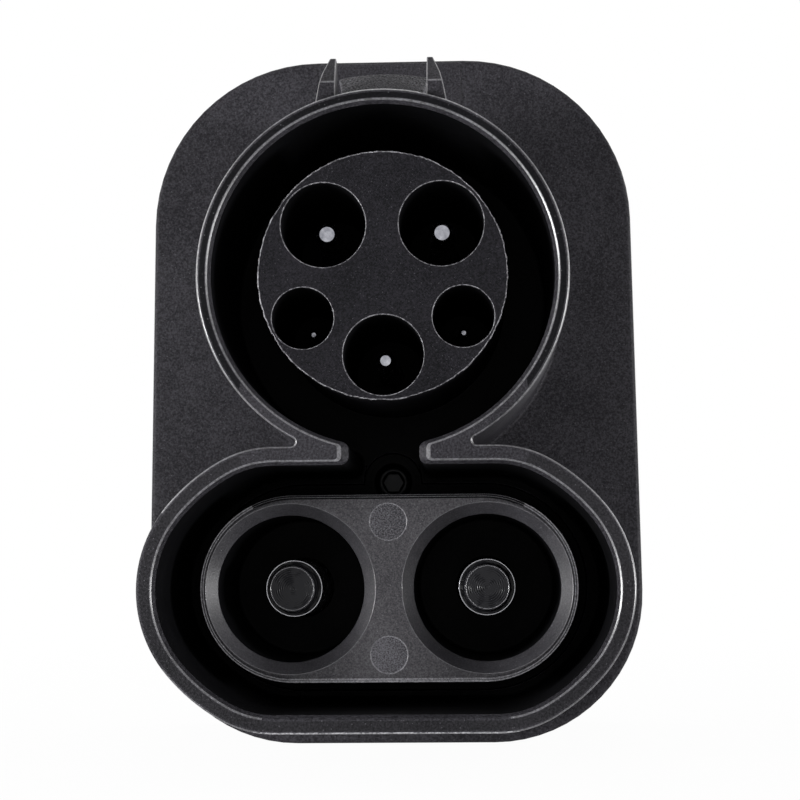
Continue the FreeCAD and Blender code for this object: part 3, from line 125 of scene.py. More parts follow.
# pins: the plate behind the insulators holds them by their collars
ROOT_STEP = 0.25
COLLAR_STEP = 1.2
PIN_COLLAR_DEPTH = 44.5
AC_TAIL = 56.0
DC_PIN_HALF = 13.5
DC_PIN_RADIUS = 4.0
DC_PIN_FRONT = 20.6
DC_SEAL_DEPTH = 41.5
DC_COLLAR_DEPTH = 43.0
DC_TAIL = 54.0
CAP_FACE = 17.2

# AC contacts: across, above the AC axis, well radius, pin radius, tip radius, tip depth
AC_CONTACTS = {
    "line_pin_left": (-7.85, 6.8, 5.65, 1.8, 1.075, 9.7),
    "line_pin_right": (7.85, 6.8, 5.65, 1.8, 1.075, 9.7),
    "earth_pin": (0.0, -10.6, 5.35, 1.4, 0.75, 9.7),
    "pilot_pin": (-10.65, -5.6, 4.1, 0.75, 0.35, 22.4),
    "proximity_pin": (10.65, -5.6, 4.1, 0.75, 0.35, 22.4),
}
# the plug's two power contacts, earth contact and two signal contacts: across, height, mouth radius,
# tube hole radius
PLUG_CONTACTS = [
    (-11.25, 64.5, 4.8, 6.3), (11.25, 64.5, 4.8, 6.3), (0.0, 47.0, 3.3, 4.0), (-9.3, 48.0, 1.3, 1.9),
    (9.3, 48.0, 1.3, 1.9),
]
POWER_TUBE = 5.0


# outlines: lists of (across, height) points in millimetres, each able to grow outwards


def arc_points(across, height, radius, start, end, steps):
    """Points on an arc, in degrees, both ends included."""
    points = []
    for step in range(steps + 1):
        angle = math.radians(start + (end - start) * step / steps)
        points.append((across + radius * math.cos(angle), height + radius * math.sin(angle)))
    return points


def circle(across, height, steps=72):
    """A circle whose growth is its radius."""
    return lambda grow: arc_points(across, height, grow, 0.0, 360.0, steps)[:-1]


def block(low, high, foot, crown, foot_radius, crown_radius, steps=16):
    """The block's outline: level foot and crown, leaning sides, round corners."""
    lean = foot - crown
    rise = high - low
    slant = math.hypot(rise, lean)
    tilt = math.degrees(math.atan2(lean, rise))
    foot_x = foot - (foot_radius * slant + lean * foot_radius) / rise
    crown_x = foot - (crown_radius * slant + lean * (rise - crown_radius)) / rise
    foot_z = low + foot_radius
    crown_z = high - crown_radius

    def outline(grow):
        near, far = foot_radius + grow, crown_radius + grow
        return (
            arc_points(foot_x, foot_z, near, -90, tilt, steps)
            + arc_points(crown_x, crown_z, far, tilt, 90, steps)
            + arc_points(-crown_x, crown_z, far, 90, 180 - tilt, steps)
            + arc_points(-foot_x, foot_z, near, 180 - tilt, 270, steps)
        )

    return outline


def lobe_quarter(half_width, half_height, crown_arc, shoulder_arc):
    """Centres and radii of the three arcs in the DC lobe's upper right quarter."""
    sin, cos = math.sin, math.cos
    first, second = math.radians(60), math.radians(40)
    crown_fall = crown_arc * (1 - sin(first))
    shoulder_fall = shoulder_arc * (sin(first) - sin(second))
    side_arc = (half_height - crown_fall - shoulder_fall) / sin(second)
    run = crown_arc * cos(first) + shoulder_arc * (cos(second) - cos(first)) + side_arc * (1 - cos(second))
    crown = (half_width - run, half_height - crown_arc)
    step = crown_arc - shoulder_arc
    shoulder = (crown[0] + step * cos(first), crown[1] + step * sin(first))
    side = (half_width - side_arc, 0.0)
    return (crown, crown_arc), (shoulder, shoulder_arc), (side, side_arc)


def dc_lobe_points(grow):
    """The DC lobe from its upper left flat, round the left, foot and right, to its upper right."""
    (crown, crown_r), (shoulder, shoulder_r), (side, side_r) = lobe_quarter(*DC_SHROUD)
    spans = [(crown, crown_r, 90, 60, 8), (shoulder, shoulder_r, 60, 40, 8), (side, side_r, 40, 0, 12)]
    quarter = []
    for centre, radius, start, end, steps in spans:
        quarter += arc_points(centre[0], centre[1], radius + grow, start, end, steps)[:-1]
    quarter.append((side[0] + side_r + grow, 0.0))
    points = [(-x, z) for x, z in quarter]
    points += [(-x, -z) for x, z in reversed(quarter[:-1])]
    points += [(x, -z) for x, z in quarter]
    points += [(x, z) for x, z in reversed(quarter[:-1])]
    return [(x, z + DC_HEIGHT) for x, z in points]


def shroud_outside(grow):
    """Both lobes from outside, with a tight fillet in each notch between them."""
    notch_z = DC_HEIGHT + DC_SHROUD[1] + NOTCH_ROUND
    fall = AC_HEIGHT - notch_z
    notch_x = math.sqrt((AC_SHROUD_RADIUS + NOTCH_ROUND) ** 2 - fall**2)
    lean = math.degrees(math.atan2(fall, notch_x))
    radius = NOTCH_ROUND - grow
    return (
        arc_points(0, AC_HEIGHT, AC_SHROUD_RADIUS + grow, -lean, 180 + lean, 160)
        + arc_points(-notch_x, notch_z, radius, lean, -90, 10)[1:]
        + dc_lobe_points(grow)
        + arc_points(notch_x, notch_z, radius, 270, 180 - lean, 10)[:-1]
    )


def shroud_inside(grow):
    """The cavity's outline: both lobes joined through the gap in the neck."""
    inner = grow - DC_SHROUD_WALL
    corner_x = NECK_HALF + NECK_CORNER + max(grow, 0.0) * NECK_EXTRA
    bore = AC_BORE_RADIUS + BORE_EXTRA
    reach = math.sqrt((bore + NECK_CORNER) ** 2 - corner_x**2)
    upper_z = AC_HEIGHT - reach
    lower_z = DC_HEIGHT + DC_SHROUD[1] - DC_SHROUD_WALL + NECK_CORNER
    lean = math.degrees(math.atan2(reach, corner_x))
    radius = NECK_CORNER - grow
    return (
        arc_points(0, AC_HEIGHT, bore + grow, -lean, 180 + lean, 160)
        + arc_points(-corner_x, upper_z, radius, lean, 0, 6)[1:]
        + arc_points(-corner_x, lower_z, radius, 0, -90, 6)
        + dc_lobe_points(inner)
        + arc_points(corner_x, lower_z, radius, 270, 180, 6)
        + arc_points(corner_x, upper_z, radius, 180, 180 - lean, 6)[:-1]
    )


def stadium(half_width, radius):
    """Two half circles joined by level lines, on the DC axis."""
    run = half_width - radius

    def outline(grow):
        return arc_points(run, DC_HEIGHT, radius + grow, -90, 90, 48) + arc_points(
            -run, DC_HEIGHT, radius + grow, 90, 270, 48
        )

    return outline


def base_plate(extra):
    """The DC base plate: a stadium with a round lug for the floor screw on top."""
    run = BOSS_HALF_WIDTH - BOSS_RADIUS
    radius = BOSS_RADIUS + BASE_MARGIN + extra

    def outline(grow):
        side = radius + grow
        lug = LUG_RADIUS + extra + grow
        dip = math.degrees(math.asin((LUG_HEIGHT - DC_HEIGHT - side) / lug))
        return (
            arc_points(run, DC_HEIGHT, side, -90, 90, 48)
            + arc_points(0, LUG_HEIGHT, lug, -dip, 180 + dip, 32)
            + arc_points(-run, DC_HEIGHT, side, 90, 270, 48)
        )

    return outline


def soften(path, steps=4):
    """Rounds a profile: each point is (growth, depth) or (growth, depth, radius)."""
    result = []
    for index, point in enumerate(path):
        here = Vector(point[:2])
        radius = point[2] if len(point) > 2 else 0.0
        if radius == 0.0 or index in (0, len(path) - 1):
            result.append(tuple(here))
            continue
        before = (Vector(path[index - 1][:2]) - here).normalized()
        after = (Vector(path[index + 1][:2]) - here).normalized()
        half = before.angle(after) / 2
        back = radius / math.tan(half)
        centre = here + (before + after).normalized() * (radius / math.sin(half))
        start = here + before * back - centre
        end = here + after * back - centre
        for step in range(steps + 1):
            spoke = start.lerp(end, step / steps).normalized() * radius
            result.append(tuple(centre + spoke))
    return result


class Shell:
    """A closed mesh made of walls between matching loops and of flat faces with holes."""

    def __init__(self):
        self.mesh = bmesh.new()

    def point(self, across, depth, height):
        return self.mesh.verts.new((across * MM, (depth - RIM_TO_MIDDLE) * MM, height * MM))

    def loop(self, points, depth):
        return [self.point(x, depth, z) for x, z in points]

    def wall(self, near, far, coat=0):
        count = len(near)
        for index in range(count):
            after = (index + 1) % count
            face = self.mesh.faces.new((near[index], near[after], far[after], far[index]))
            face.material_index = coat

    def walls(self, rings):
        """Walls from each ring to the next. Gives the first and the last ring."""
        for near, far in zip(rings, rings[1:]):
            self.wall(near, far)
        return rings[0], rings[-1]

    def skin(self, outline, path, coats=None):
        """Walls along a softened path. Gives its first and last loop.

        coats gives a wall's finish from its depth and its steepness: 0 faces front, 1 is a wall."""
        stations = soften(path)
        rings = [self.loop(outline(grow), depth) for grow, depth in stations]
        for index, (near, far) in enumerate(zip(rings, rings[1:])):
            run = Vector(stations[index + 1]) - Vector(stations[index])
            coat = 0
            if coats and run.length > 0:
                middle = (stations[index][1] + stations[index + 1][1]) / 2
                coat = coats(middle, abs(run.y) / run.length)
            self.wall(near, far, coat)
        return rings[0], rings[-1]

    def flat(self, *loops, coat=0):
        """A flat face: the first loop is its edge, the others are holes in it."""
        edges = []
        for ring in loops:
            for index, vert in enumerate(ring):
                after = ring[(index + 1) % len(ring)]
                edge = self.mesh.edges.get((vert, after)) or self.mesh.edges.new((vert, after))
                edges.append(edge)
        if len(loops) == 1:
            faces = [self.mesh.faces.new(loops[0])]
        else:
            filled = bmesh.ops.triangle_fill(self.mesh, use_beauty=True, use_dissolve=False, edges=edges)
            faces = [item for item in filled["geom"] if isinstance(item, bmesh.types.BMFace)]
        for face in faces:
            face.material_index = coat
        return faces

    def close(self, ends):
        """Closes both ends of a tube of walls and turns all its faces outwards."""
        for ring in ends:
            self.flat(ring)
        bmesh.ops.recalc_face_normals(self.mesh, faces=self.mesh.faces)

    def round_edges(self, radius, sharper_than, coat=0):
        """Bevels the edges that turn by more than an angle in degrees."""
        limit = math.radians(sharper_than)
        sharp = [edge for edge in self.mesh.edges if edge.calc_face_angle(0.0) > limit]
        rounded = bmesh.ops.bevel(self.mesh, geom=sharp, offset=radius * MM, segments=2, profile=0.5,
                                  affect="EDGES", clamp_overlap=True)
        for face in rounded["faces"]:
            face.material_index = coat

    def loose(self, name, *finishes):
        """The mesh as an object that isn't in the scene, ready for cut()."""
        data = bpy.data.meshes.new(name)
        self.mesh.to_mesh(data)
        self.mesh.free()
        for finish in finishes:
            data.materials.append(MATERIALS[finish])
        return bpy.data.objects.new(name, data)

    def finish(self, name, finishes, slot):
        """Turns the loops into a piece: outward faces, smooth and finished. The slot is not used."""
        bmesh.ops.remove_doubles(self.mesh, verts=self.mesh.verts, dist=1e-7)
        bmesh.ops.recalc_face_normals(self.mesh, faces=self.mesh.faces)
        piece = self.loose(name, *finishes)
        smooth(piece)
        bpy.context.scene.collection.objects.link(piece)
        return piece


def smooth(piece):
    piece.data.polygons.foreach_set("use_smooth", [True] * len(piece.data.polygons))


def settle(piece, *modifiers):
    """Adds modifiers by (type, settings), then leaves only their result as a plain mesh."""
    for kind, settings in modifiers:
        modifier = piece.modifiers.new(kind, kind)
        for key, value in settings.items():
            setattr(modifier, key, value)
    shown = piece.evaluated_get(bpy.context.evaluated_depsgraph_get())
    data = bpy.data.meshes.new_from_object(shown)
    data.name = piece.name
    piece.modifiers.clear()
    piece.data = data


EVEN_NORMALS = ("WEIGHTED_NORMAL", {"mode": "FACE_AREA", "weight": 50, "keep_sharp": False})


def stand_for(piece, *nodes):
    """The piece gets even shading and rides with the part in place of its CAD nodes."""
    settle(piece, EVEN_NORMALS)
    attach(piece, "root")
    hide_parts(*nodes)


# materials


def linear(code):
    """An sRGB hex colour as linear red, green, blue and alpha."""
    result = []
    for start in (0, 2, 4):
        value = int(code[start:start + 2], 16) / 255
        result.append(value / 12.92 if value <= 0.04045 else ((value + 0.055) / 1.055) ** 2.4)
    return (*result, 1.0)


def add(tree, kind, settings=None, inputs=None):
    """Adds a node. An input is a value or the socket that feeds it."""
    item = tree.nodes.new(kind)
    for key, value in (settings or {}).items():
        setattr(item, key, value)
    for key, value in (inputs or {}).items():
        if isinstance(value, bpy.types.NodeSocket):
            tree.links.new(value, item.inputs[key])
        else:
            item.inputs[key].default_value = value
    return item


def new_material(name):
    material = bpy.data.materials.new(name)
    material.use_nodes = True
    tree = material.node_tree
    tree.nodes.clear()
    output = add(tree, "ShaderNodeOutputMaterial")
    return material, tree, output


def moulded_plastic(name, dark, pale, edge, grain, roughness, shine, relief_depth, rub_and_highlight_radius=0.22):
    """Glass-filled nylon from a spark-eroded mould: near-black, a fine matte grain with
    scattered paler fibre specks, and rubbed edges that are smoother and painted paler as a highlight."""
    material, tree, output = new_material(name)
    place = add(tree, "ShaderNodeTexCoord").outputs["Object"]
    # cloudy tone over about 9 mm, where the melt flowed
    cloud = add(tree, "ShaderNodeTexNoise", inputs={
        "Vector": place, "Scale": 110.0, "Detail": 4.0, "Roughness": 0.6})
    # moulded grain, drawn coarser than the real 0.1 mm so that it shows at this distance
    fine = add(tree, "ShaderNodeTexNoise", inputs={
        "Vector": place, "Scale": 1 / (grain * MM), "Detail": 3.0, "Roughness": 0.7})
    tone = add(tree, "ShaderNodeMath", {"operation": "MULTIPLY_ADD"}, {
        0: cloud.outputs["Fac"], 1: 0.28, 2: fine.outputs["Fac"]})
    spread = add(tree, "ShaderNodeMapRange", inputs={
        "Value": tone.outputs[0], "From Min": 0.52, "From Max": 0.78})
    base = add(tree, "ShaderNodeMix", {"data_type": "RGBA"},
               {"Factor": spread.outputs[0], 6: linear(dark), 7: linear(pale)})
    # glass fibre ends: small pale flecks, one to each cell, which is 2.4 grains or about 0.7 mm wide
    fleck = add(tree, "ShaderNodeTexVoronoi", {"feature": "F1"}, {
        "Vector": place, "Scale": 1 / (grain * 2.4 * MM)})
    spot = add(tree, "ShaderNodeMapRange", inputs={
        "Value": fleck.outputs["Distance"], "From Min": 0.14, "From Max": 0.04, "To Min": 0.0,
        "To Max": 0.35})
    flecked = add(tree, "ShaderNodeMix", {"data_type": "RGBA"},
                  {"Factor": spot.outputs[0], 6: base.outputs[2], 7: linear(edge)})
    # rubbed edges with a painted highlight: paler where a small rounding would turn the surface, broken up by
    # the grain
    turned = add(tree, "ShaderNodeBevel", {"samples": 8}, {"Radius": rub_and_highlight_radius * MM})
    true_normal = add(tree, "ShaderNodeNewGeometry").outputs["Normal"]
    match = add(tree, "ShaderNodeVectorMath", {"operation": "DOT_PRODUCT"},
                {0: turned.outputs["Normal"], 1: true_normal})
    bent = add(tree, "ShaderNodeMapRange", inputs={
        "Value": match.outputs["Value"], "From Min": 0.985, "From Max": 0.88, "To Min": 0.0, "To Max": 1.0})
    broken = add(tree, "ShaderNodeMapRange", inputs={
        "Value": tone.outputs[0], "From Min": 0.49, "From Max": 0.74, "To Min": 0.25, "To Max": 0.9})
    rub_and_highlight = add(tree, "ShaderNodeMath", {"operation": "MULTIPLY"}, {0: bent.outputs[0], 1: broken.outputs[0]})
    rubbed_and_highlit = add(tree, "ShaderNodeMix", {"data_type": "RGBA"},
               {"Factor": rub_and_highlight.outputs[0], 6: flecked.outputs[2], 7: linear(edge)})
    rough = add(tree, "ShaderNodeMapRange", inputs={
        "Value": cloud.outputs["Fac"], "From Min": 0.3, "From Max": 0.7, "To Min": roughness - 0.04,
        "To Max": roughness + 0.05})
    smoother = add(tree, "ShaderNodeMath", {"operation": "MULTIPLY_ADD"}, {
        0: rub_and_highlight.outputs[0], 1: -0.18, 2: rough.outputs[0]})
    relief = add(tree, "ShaderNodeBump", inputs={
        "Strength": 1.0, "Distance": relief_depth * MM, "Height": fine.outputs["Fac"]})
    surface = add(tree, "ShaderNodeBsdfPrincipled", inputs={
        "Base Color": rubbed_and_highlit.outputs[2], "Roughness": smoother.outputs[0], "IOR": 1.5,
        "Specular IOR Level": shine, "Normal": relief.outputs[0]})
    tree.links.new(surface.outputs[0], output.inputs[0])
    return material


def turned_metal(name, colour, shade, roughness, rings, centres):
    """Turned and plated metal: bright, with faint rings from the lathe."""
    material, tree, output = new_material(name)
    place = add(tree, "ShaderNodeTexCoord").outputs["Object"]
    tarnish = add(tree, "ShaderNodeTexNoise", inputs={"Vector": place, "Scale": 1400.0, "Detail": 3.0})
    base = add(tree, "ShaderNodeMix", {"data_type": "RGBA"},
               {"Factor": tarnish.outputs["Fac"], 6: linear(colour), 7: linear(shade)})
    normal = {}
    if rings:
        groove = lathe_rings(tree, place, centres, rings)
        normal["Normal"] = add(tree, "ShaderNodeBump", inputs={
            "Strength": 0.25, "Distance": 0.02 * MM, "Height": groove}).outputs[0]
    rough = add(tree, "ShaderNodeMapRange", inputs={
        "Value": tarnish.outputs["Fac"], "From Min": 0.3, "From Max": 0.7, "To Min": roughness - 0.05,
        "To Max": roughness + 0.07})
    surface = add(tree, "ShaderNodeBsdfPrincipled", inputs={
        "Base Color": base.outputs[2], "Metallic": 1.0, "Roughness": rough.outputs[0], **normal})
    tree.links.new(surface.outputs[0], output.inputs[0])
    return material


def lathe_rings(tree, place, centre, pitch):
    """Rings of a given pitch in millimetres round a lengthwise axis and its mirror image."""
    split = add(tree, "ShaderNodeSeparateXYZ", inputs={0: place})
    across = add(tree, "ShaderNodeMath", {"operation": "ABSOLUTE"}, {0: split.outputs["X"]})
    aside = add(tree, "ShaderNodeMath", {"operation": "SUBTRACT"}, {0: across.outputs[0], 1: centre[0] * MM})
    above = add(tree, "ShaderNodeMath", {"operation": "SUBTRACT"}, {0: split.outputs["Z"], 1: centre[1] * MM})
    both = add(tree, "ShaderNodeCombineXYZ", inputs={"X": aside.outputs[0], "Z": above.outputs[0]})
    radius = add(tree, "ShaderNodeVectorMath", {"operation": "LENGTH"}, {0: both.outputs[0]})
    turns = add(tree, "ShaderNodeMath", {"operation": "MULTIPLY"},
                {0: radius.outputs["Value"], 1: 2 * math.pi / (pitch * MM)})
    return add(tree, "ShaderNodeMath", {"operation": "SINE"}, {0: turns.outputs[0]}).outputs[0]


def simple_finish(name, colour, shade, roughness, metallic=0.0, scale=400.0, coat=0.0):
    """A finish for pieces inside the casing: base tone, slight mottling and fine relief."""
    material, tree, output = new_material(name)
    place = add(tree, "ShaderNodeTexCoord").outputs["Object"]
    mottle = add(tree, "ShaderNodeTexNoise", inputs={"Vector": place, "Scale": scale, "Detail": 3.0})
    base = add(tree, "ShaderNodeMix", {"data_type": "RGBA"},
               {"Factor": mottle.outputs["Fac"], 6: linear(colour), 7: linear(shade)})
    relief = add(tree, "ShaderNodeBump", inputs={
        "Strength": 0.1, "Distance": 0.02 * MM, "Height": mottle.outputs["Fac"]})
    surface = add(tree, "ShaderNodeBsdfPrincipled", inputs={
        "Base Color": base.outputs[2], "Roughness": roughness, "Metallic": metallic, "Coat Weight": coat,
        "Normal": relief.outputs[0]})
    tree.links.new(surface.outputs[0], output.inputs[0])
    return material


def turned_cap(name):
    """Black acetal turned on a lathe: dark and smooth, with fine patchy rings that glint."""
    material, tree, output = new_material(name)
    place = add(tree, "ShaderNodeTexCoord").outputs["Object"]
    # feed marks 0.30 mm apart, a little coarser than the real ones so that they show, and patchy
    groove = lathe_rings(tree, place, (DC_PIN_HALF, DC_HEIGHT), 0.30)
    uneven = add(tree, "ShaderNodeTexNoise", inputs={"Vector": place, "Scale": 620.0, "Detail": 2.0})
    patch = add(tree, "ShaderNodeMapRange", inputs={
        "Value": uneven.outputs[0], "From Min": 0.42, "From Max": 0.62})
    streak = add(tree, "ShaderNodeMath", {"operation": "MULTIPLY"}, {0: groove, 1: patch.outputs[0]})
    # the rings are painted into the colour as well, as light and dark rings of painted sheen
    painted_ring_sheen = add(tree, "ShaderNodeMapRange", inputs={
        "Value": streak.outputs[0], "From Min": -1.0, "From Max": 1.0})
    base = add(tree, "ShaderNodeMix", {"data_type": "RGBA"},
               {"Factor": painted_ring_sheen.outputs[0], 6: linear("08080a"), 7: linear("242428")})
    relief = add(tree, "ShaderNodeBump", inputs={
        "Strength": 1.0, "Distance": 0.035 * MM, "Height": streak.outputs[0]})
    surface = add(tree, "ShaderNodeBsdfPrincipled", inputs={
        "Base Color": base.outputs[2], "Roughness": 0.28, "IOR": 1.48, "Specular IOR Level": 0.2,
        "Normal": relief.outputs[0]})
    tree.links.new(surface.outputs[0], output.inputs[0])
    return material


MATERIALS = {}

# moulded nylons: name, dark, pale and edge colour, grain in millimetres, roughness, shine, relief in
# millimetres, and the width of the rubbed edges and their painted highlight in millimetres where it isn't the
# usual one
NYLONS = {
    # the block and the shroud's walls: dull dark grey with pale fibre flecks
    "housing": ("moulded_glass_filled_nylon", "18171a", "363539", "77767b", 0.30, 0.52, 0.09, 0.045),
    # edges rubbed by plugs and painted pale as highlight lines: smooth, so that they also catch the lamps as
    # lines
    "edge_wear_and_highlight": ("nylon_edge_wear_and_painted_highlight", "1d1c1f", "59585d", "b4b3b8", 0.34, 0.34, 0.95, 0.010),
    # the foot's edge, painted light grey as the reflection of the white floor
    "painted_floor_reflection": ("foot_edge_painted_floor_reflection", "4a494e", "b9b8bd", "cfced3", 0.34, 0.30, 0.6, 0.020),
    # the upper rim, which stayed smooth and looks almost black
    "rim": ("smooth_rim_nylon", "08080a", "141416", "8b8a8f", 0.30, 0.5, 0.05, 0.020, 0.14),
    # the lower rim, a little greyer than the upper one
    "low_rim": ("low_rim_nylon", "111113", "2a292c", "77767b", 0.30, 0.52, 0.09, 0.045),
    # the walls and floors deep in the cavities, wells and holes: painted nearly black as shade in the
    # recesses
    "recess_shade": ("nylon_painted_recess_shade", "060607", "0d0d0f", "2a2a2d", 0.30, 0.5, 0.06, 0.012),
    # the AC core's face: very dark, with a fine even grain
    "insulator": ("moulded_insulator_nylon", "0c0c0e", "201f23", "6c6b70", 0.24, 0.52, 0.06, 0.034, 0.14),
    # the DC boss's face: mid grey with a fine grain
    "boss": ("moulded_boss_nylon", "2b2a2d", "4a494c", "9a999d", 0.20, 0.48, 0.14, 0.030),
    # the boss's edges and grooves, rubbed and painted pale as a bright highlight line
    "boss_edge": ("boss_edge_wear_and_painted_highlight", "333236", "6b6a6f", "a9a8ad", 0.30, 0.24, 0.8, 0.010),
    # the chamfers of the DC wells: smooth, with a soft sheen towards the lamps
    "chamfer": ("smooth_chamfer_nylon", "1f1e22", "3c3b3f", "9a999d", 0.24, 0.42, 0.65, 0.020),
    # the ejector marks: coarse grain with pale grit
    "ejector": ("spark_eroded_mark", "161518", "5a595e", "a8a7ab", 0.20, 0.55, 0.16, 0.09),
    # the latch catch: the coarsest grain, grey and dull
    "catch": ("spark_eroded_catch", "100f12", "6c6b6f", "8e8d92", 0.26, 0.6, 0.02, 0.08),
    # the thin lip squeezed out round the core: uneven and paler; on the rounded mouths of the AC wells the
    # same pale finish is a painted highlight
    "flash": ("moulding_flash_and_painted_highlight", "232226", "7e7d81", "a4a3a8", 0.50, 0.4, 0.3, 0.02),
}
# finishes of small and inner pieces: name, colour, shade, roughness, metallic, scale of the mottling
# and coat
SIMPLE_FINISHES = {
    # blackened screw: dark with a dull metal sheen
    "black_steel": ("black_oxide_steel", "0e0e10", "161618", 0.42, 0.6, 900.0),
    # zinc plate: light grey metal with a soft sheen
    "steel": ("zinc_plated_steel", "b4b5b8", "96979b", 0.32, 1.0, 700.0),
    # bare copper: warm metal, a little tarnished
    "copper": ("bare_copper_strip", "c98a63", "a9694a", 0.34, 1.0, 300.0),
    # silicone rubber: dull black
    "seal": ("black_silicone", "161618", "1f1f22", 0.62, 0.0, 500.0),
    # wire insulation: smooth PVC in the usual colours
    "earth_wire": ("yellow_green_insulation", "7f9b2d", "6b8c2a", 0.42, 0.0, 300.0),
    "signal_wire": ("grey_insulation", "8d8e92", "7b7c80", 0.42, 0.0, 300.0),
    # lacquered board: glossy green
    "board": ("green_solder_mask", "1c5a34", "164a2a", 0.3, 0.0, 600.0, 0.4),
    # pressed phenolic: dark with a slight gloss
    "switch": ("phenolic_case", "26262a", "1c1c20", 0.35, 0.0, 500.0, 0.2),
}


def make_materials():
    for key, values in NYLONS.items():
        MATERIALS[key] = moulded_plastic(*values)
    for key, values in SIMPLE_FINISHES.items():
        MATERIALS[key] = simple_finish(*values)
    MATERIALS["cap"] = turned_cap("turned_acetal_cap")
    # silver plate, worn and slightly tarnished: bright, with soft reflections
    MATERIALS["silver"] = turned_metal("silver_plated_contact", "cccdd4", "6d6e78", 0.27, 0.0, (0, 0))
    # the same on the thick pins, where the lathe's rings show on the bright front ring
    MATERIALS["dc_silver"] = turned_metal(
        "silver_plated_power_pin", "d6d6da", "98989e", 0.24, 0.16, (DC_PIN_HALF, DC_HEIGHT))


# finishes within one moulding, by the number that its faces carry
COATS = ("housing", "edge_wear_and_highlight", "recess_shade", "rim", "painted_floor_reflection", "low_rim")
PLAIN, WORN_AND_HIGHLIT, RECESS_SHADE, RIM, FLOOR_REFLECTION, LOW_RIM = range(len(COATS))
CORE_COATS = ("insulator", "flash", "recess_shade")
FLASH_AND_HIGHLIGHT = 1
BOSS_COATS = ("boss", "boss_edge", "recess_shade", "ejector", "chamfer")
MARK, CHAMFER = 3, 4


def block_piece(points, start, end, bevel, name, finish):
    """A small closed prism from an outline seen from the front, with softened edges."""
    shell = Shell()
    shell.close(shell.walls([shell.loop(points, start), shell.loop(points, end)]))
    shell.round_edges(bevel, 1)
    return shell.loose(name, finish)


def catch_shape():
    """The latch catch: a ramp and a step turned about the AC axis through a small angle."""
    shell = Shell()
    # depth and distance from the AC axis
    profile = [(5.5, 23.6), (15.5, 23.6), (15.5, 29.4), (12.4, 29.4), (5.5, 24.7)]
    rings = []
    steps = 12
    for step in range(steps + 1):
        angle = math.radians(-CATCH_HALF_ANGLE + 2 * CATCH_HALF_ANGLE * step / steps)
        rings.append([
            shell.point(radius * math.sin(angle), depth, AC_HEIGHT + radius * math.cos(angle))
            for depth, radius in profile])
    shell.close(shell.walls(rings))
    shell.round_edges(0.25, 20)
    return shell.loose("catch", "catch", "edge_wear_and_highlight")


def fin_shape(side):
    """A guard fin: upright in front up to a knee, then sloping back to a narrow tip."""
    shell = Shell()
    top = AC_HEIGHT + AC_SHROUD_RADIUS
    # across, depth of the front, height
    stations = (
        (8.95, 1.2, top - 2.6), (8.45, 1.2, top + 0.1), (8.2, 1.2, top + 1.3), (7.85, 2.3, top + 2.7),
        (7.35, 3.4, top + 4.0), (6.9, 4.2, top + 5.1),
    )
    rings = []
    for across, front, height in stations:
        corners = ((FIN_INNER, front), (across, front), (across, FIN_BACK), (FIN_INNER, FIN_BACK))
        rings.append([shell.point(side * x, depth, height) for x, depth in corners])
    shell.close(shell.walls(rings))
    # the bevelled edges get the worn finish that is painted pale as a highlight line
    shell.round_edges(0.14, 24, WORN_AND_HIGHLIT)
    return shell.loose("fin", "housing", "edge_wear_and_highlight")


def land_shape():
    """The raised flat behind the catch, from the shroud's top up to the block's edge."""
    top = CASING["high"] - 0.45
    low = AC_HEIGHT + math.sqrt(AC_SHROUD_RADIUS**2 - LAND_HALF_WIDTH**2) - 0.8
    half = LAND_HALF_WIDTH
    points = [(-half, low), (half, low), (half, top), (-half, top)]
    return block_piece(points, FACE_DEPTH - 0.4, FACE_DEPTH + 0.8, 0.12, "latch_land", "housing")


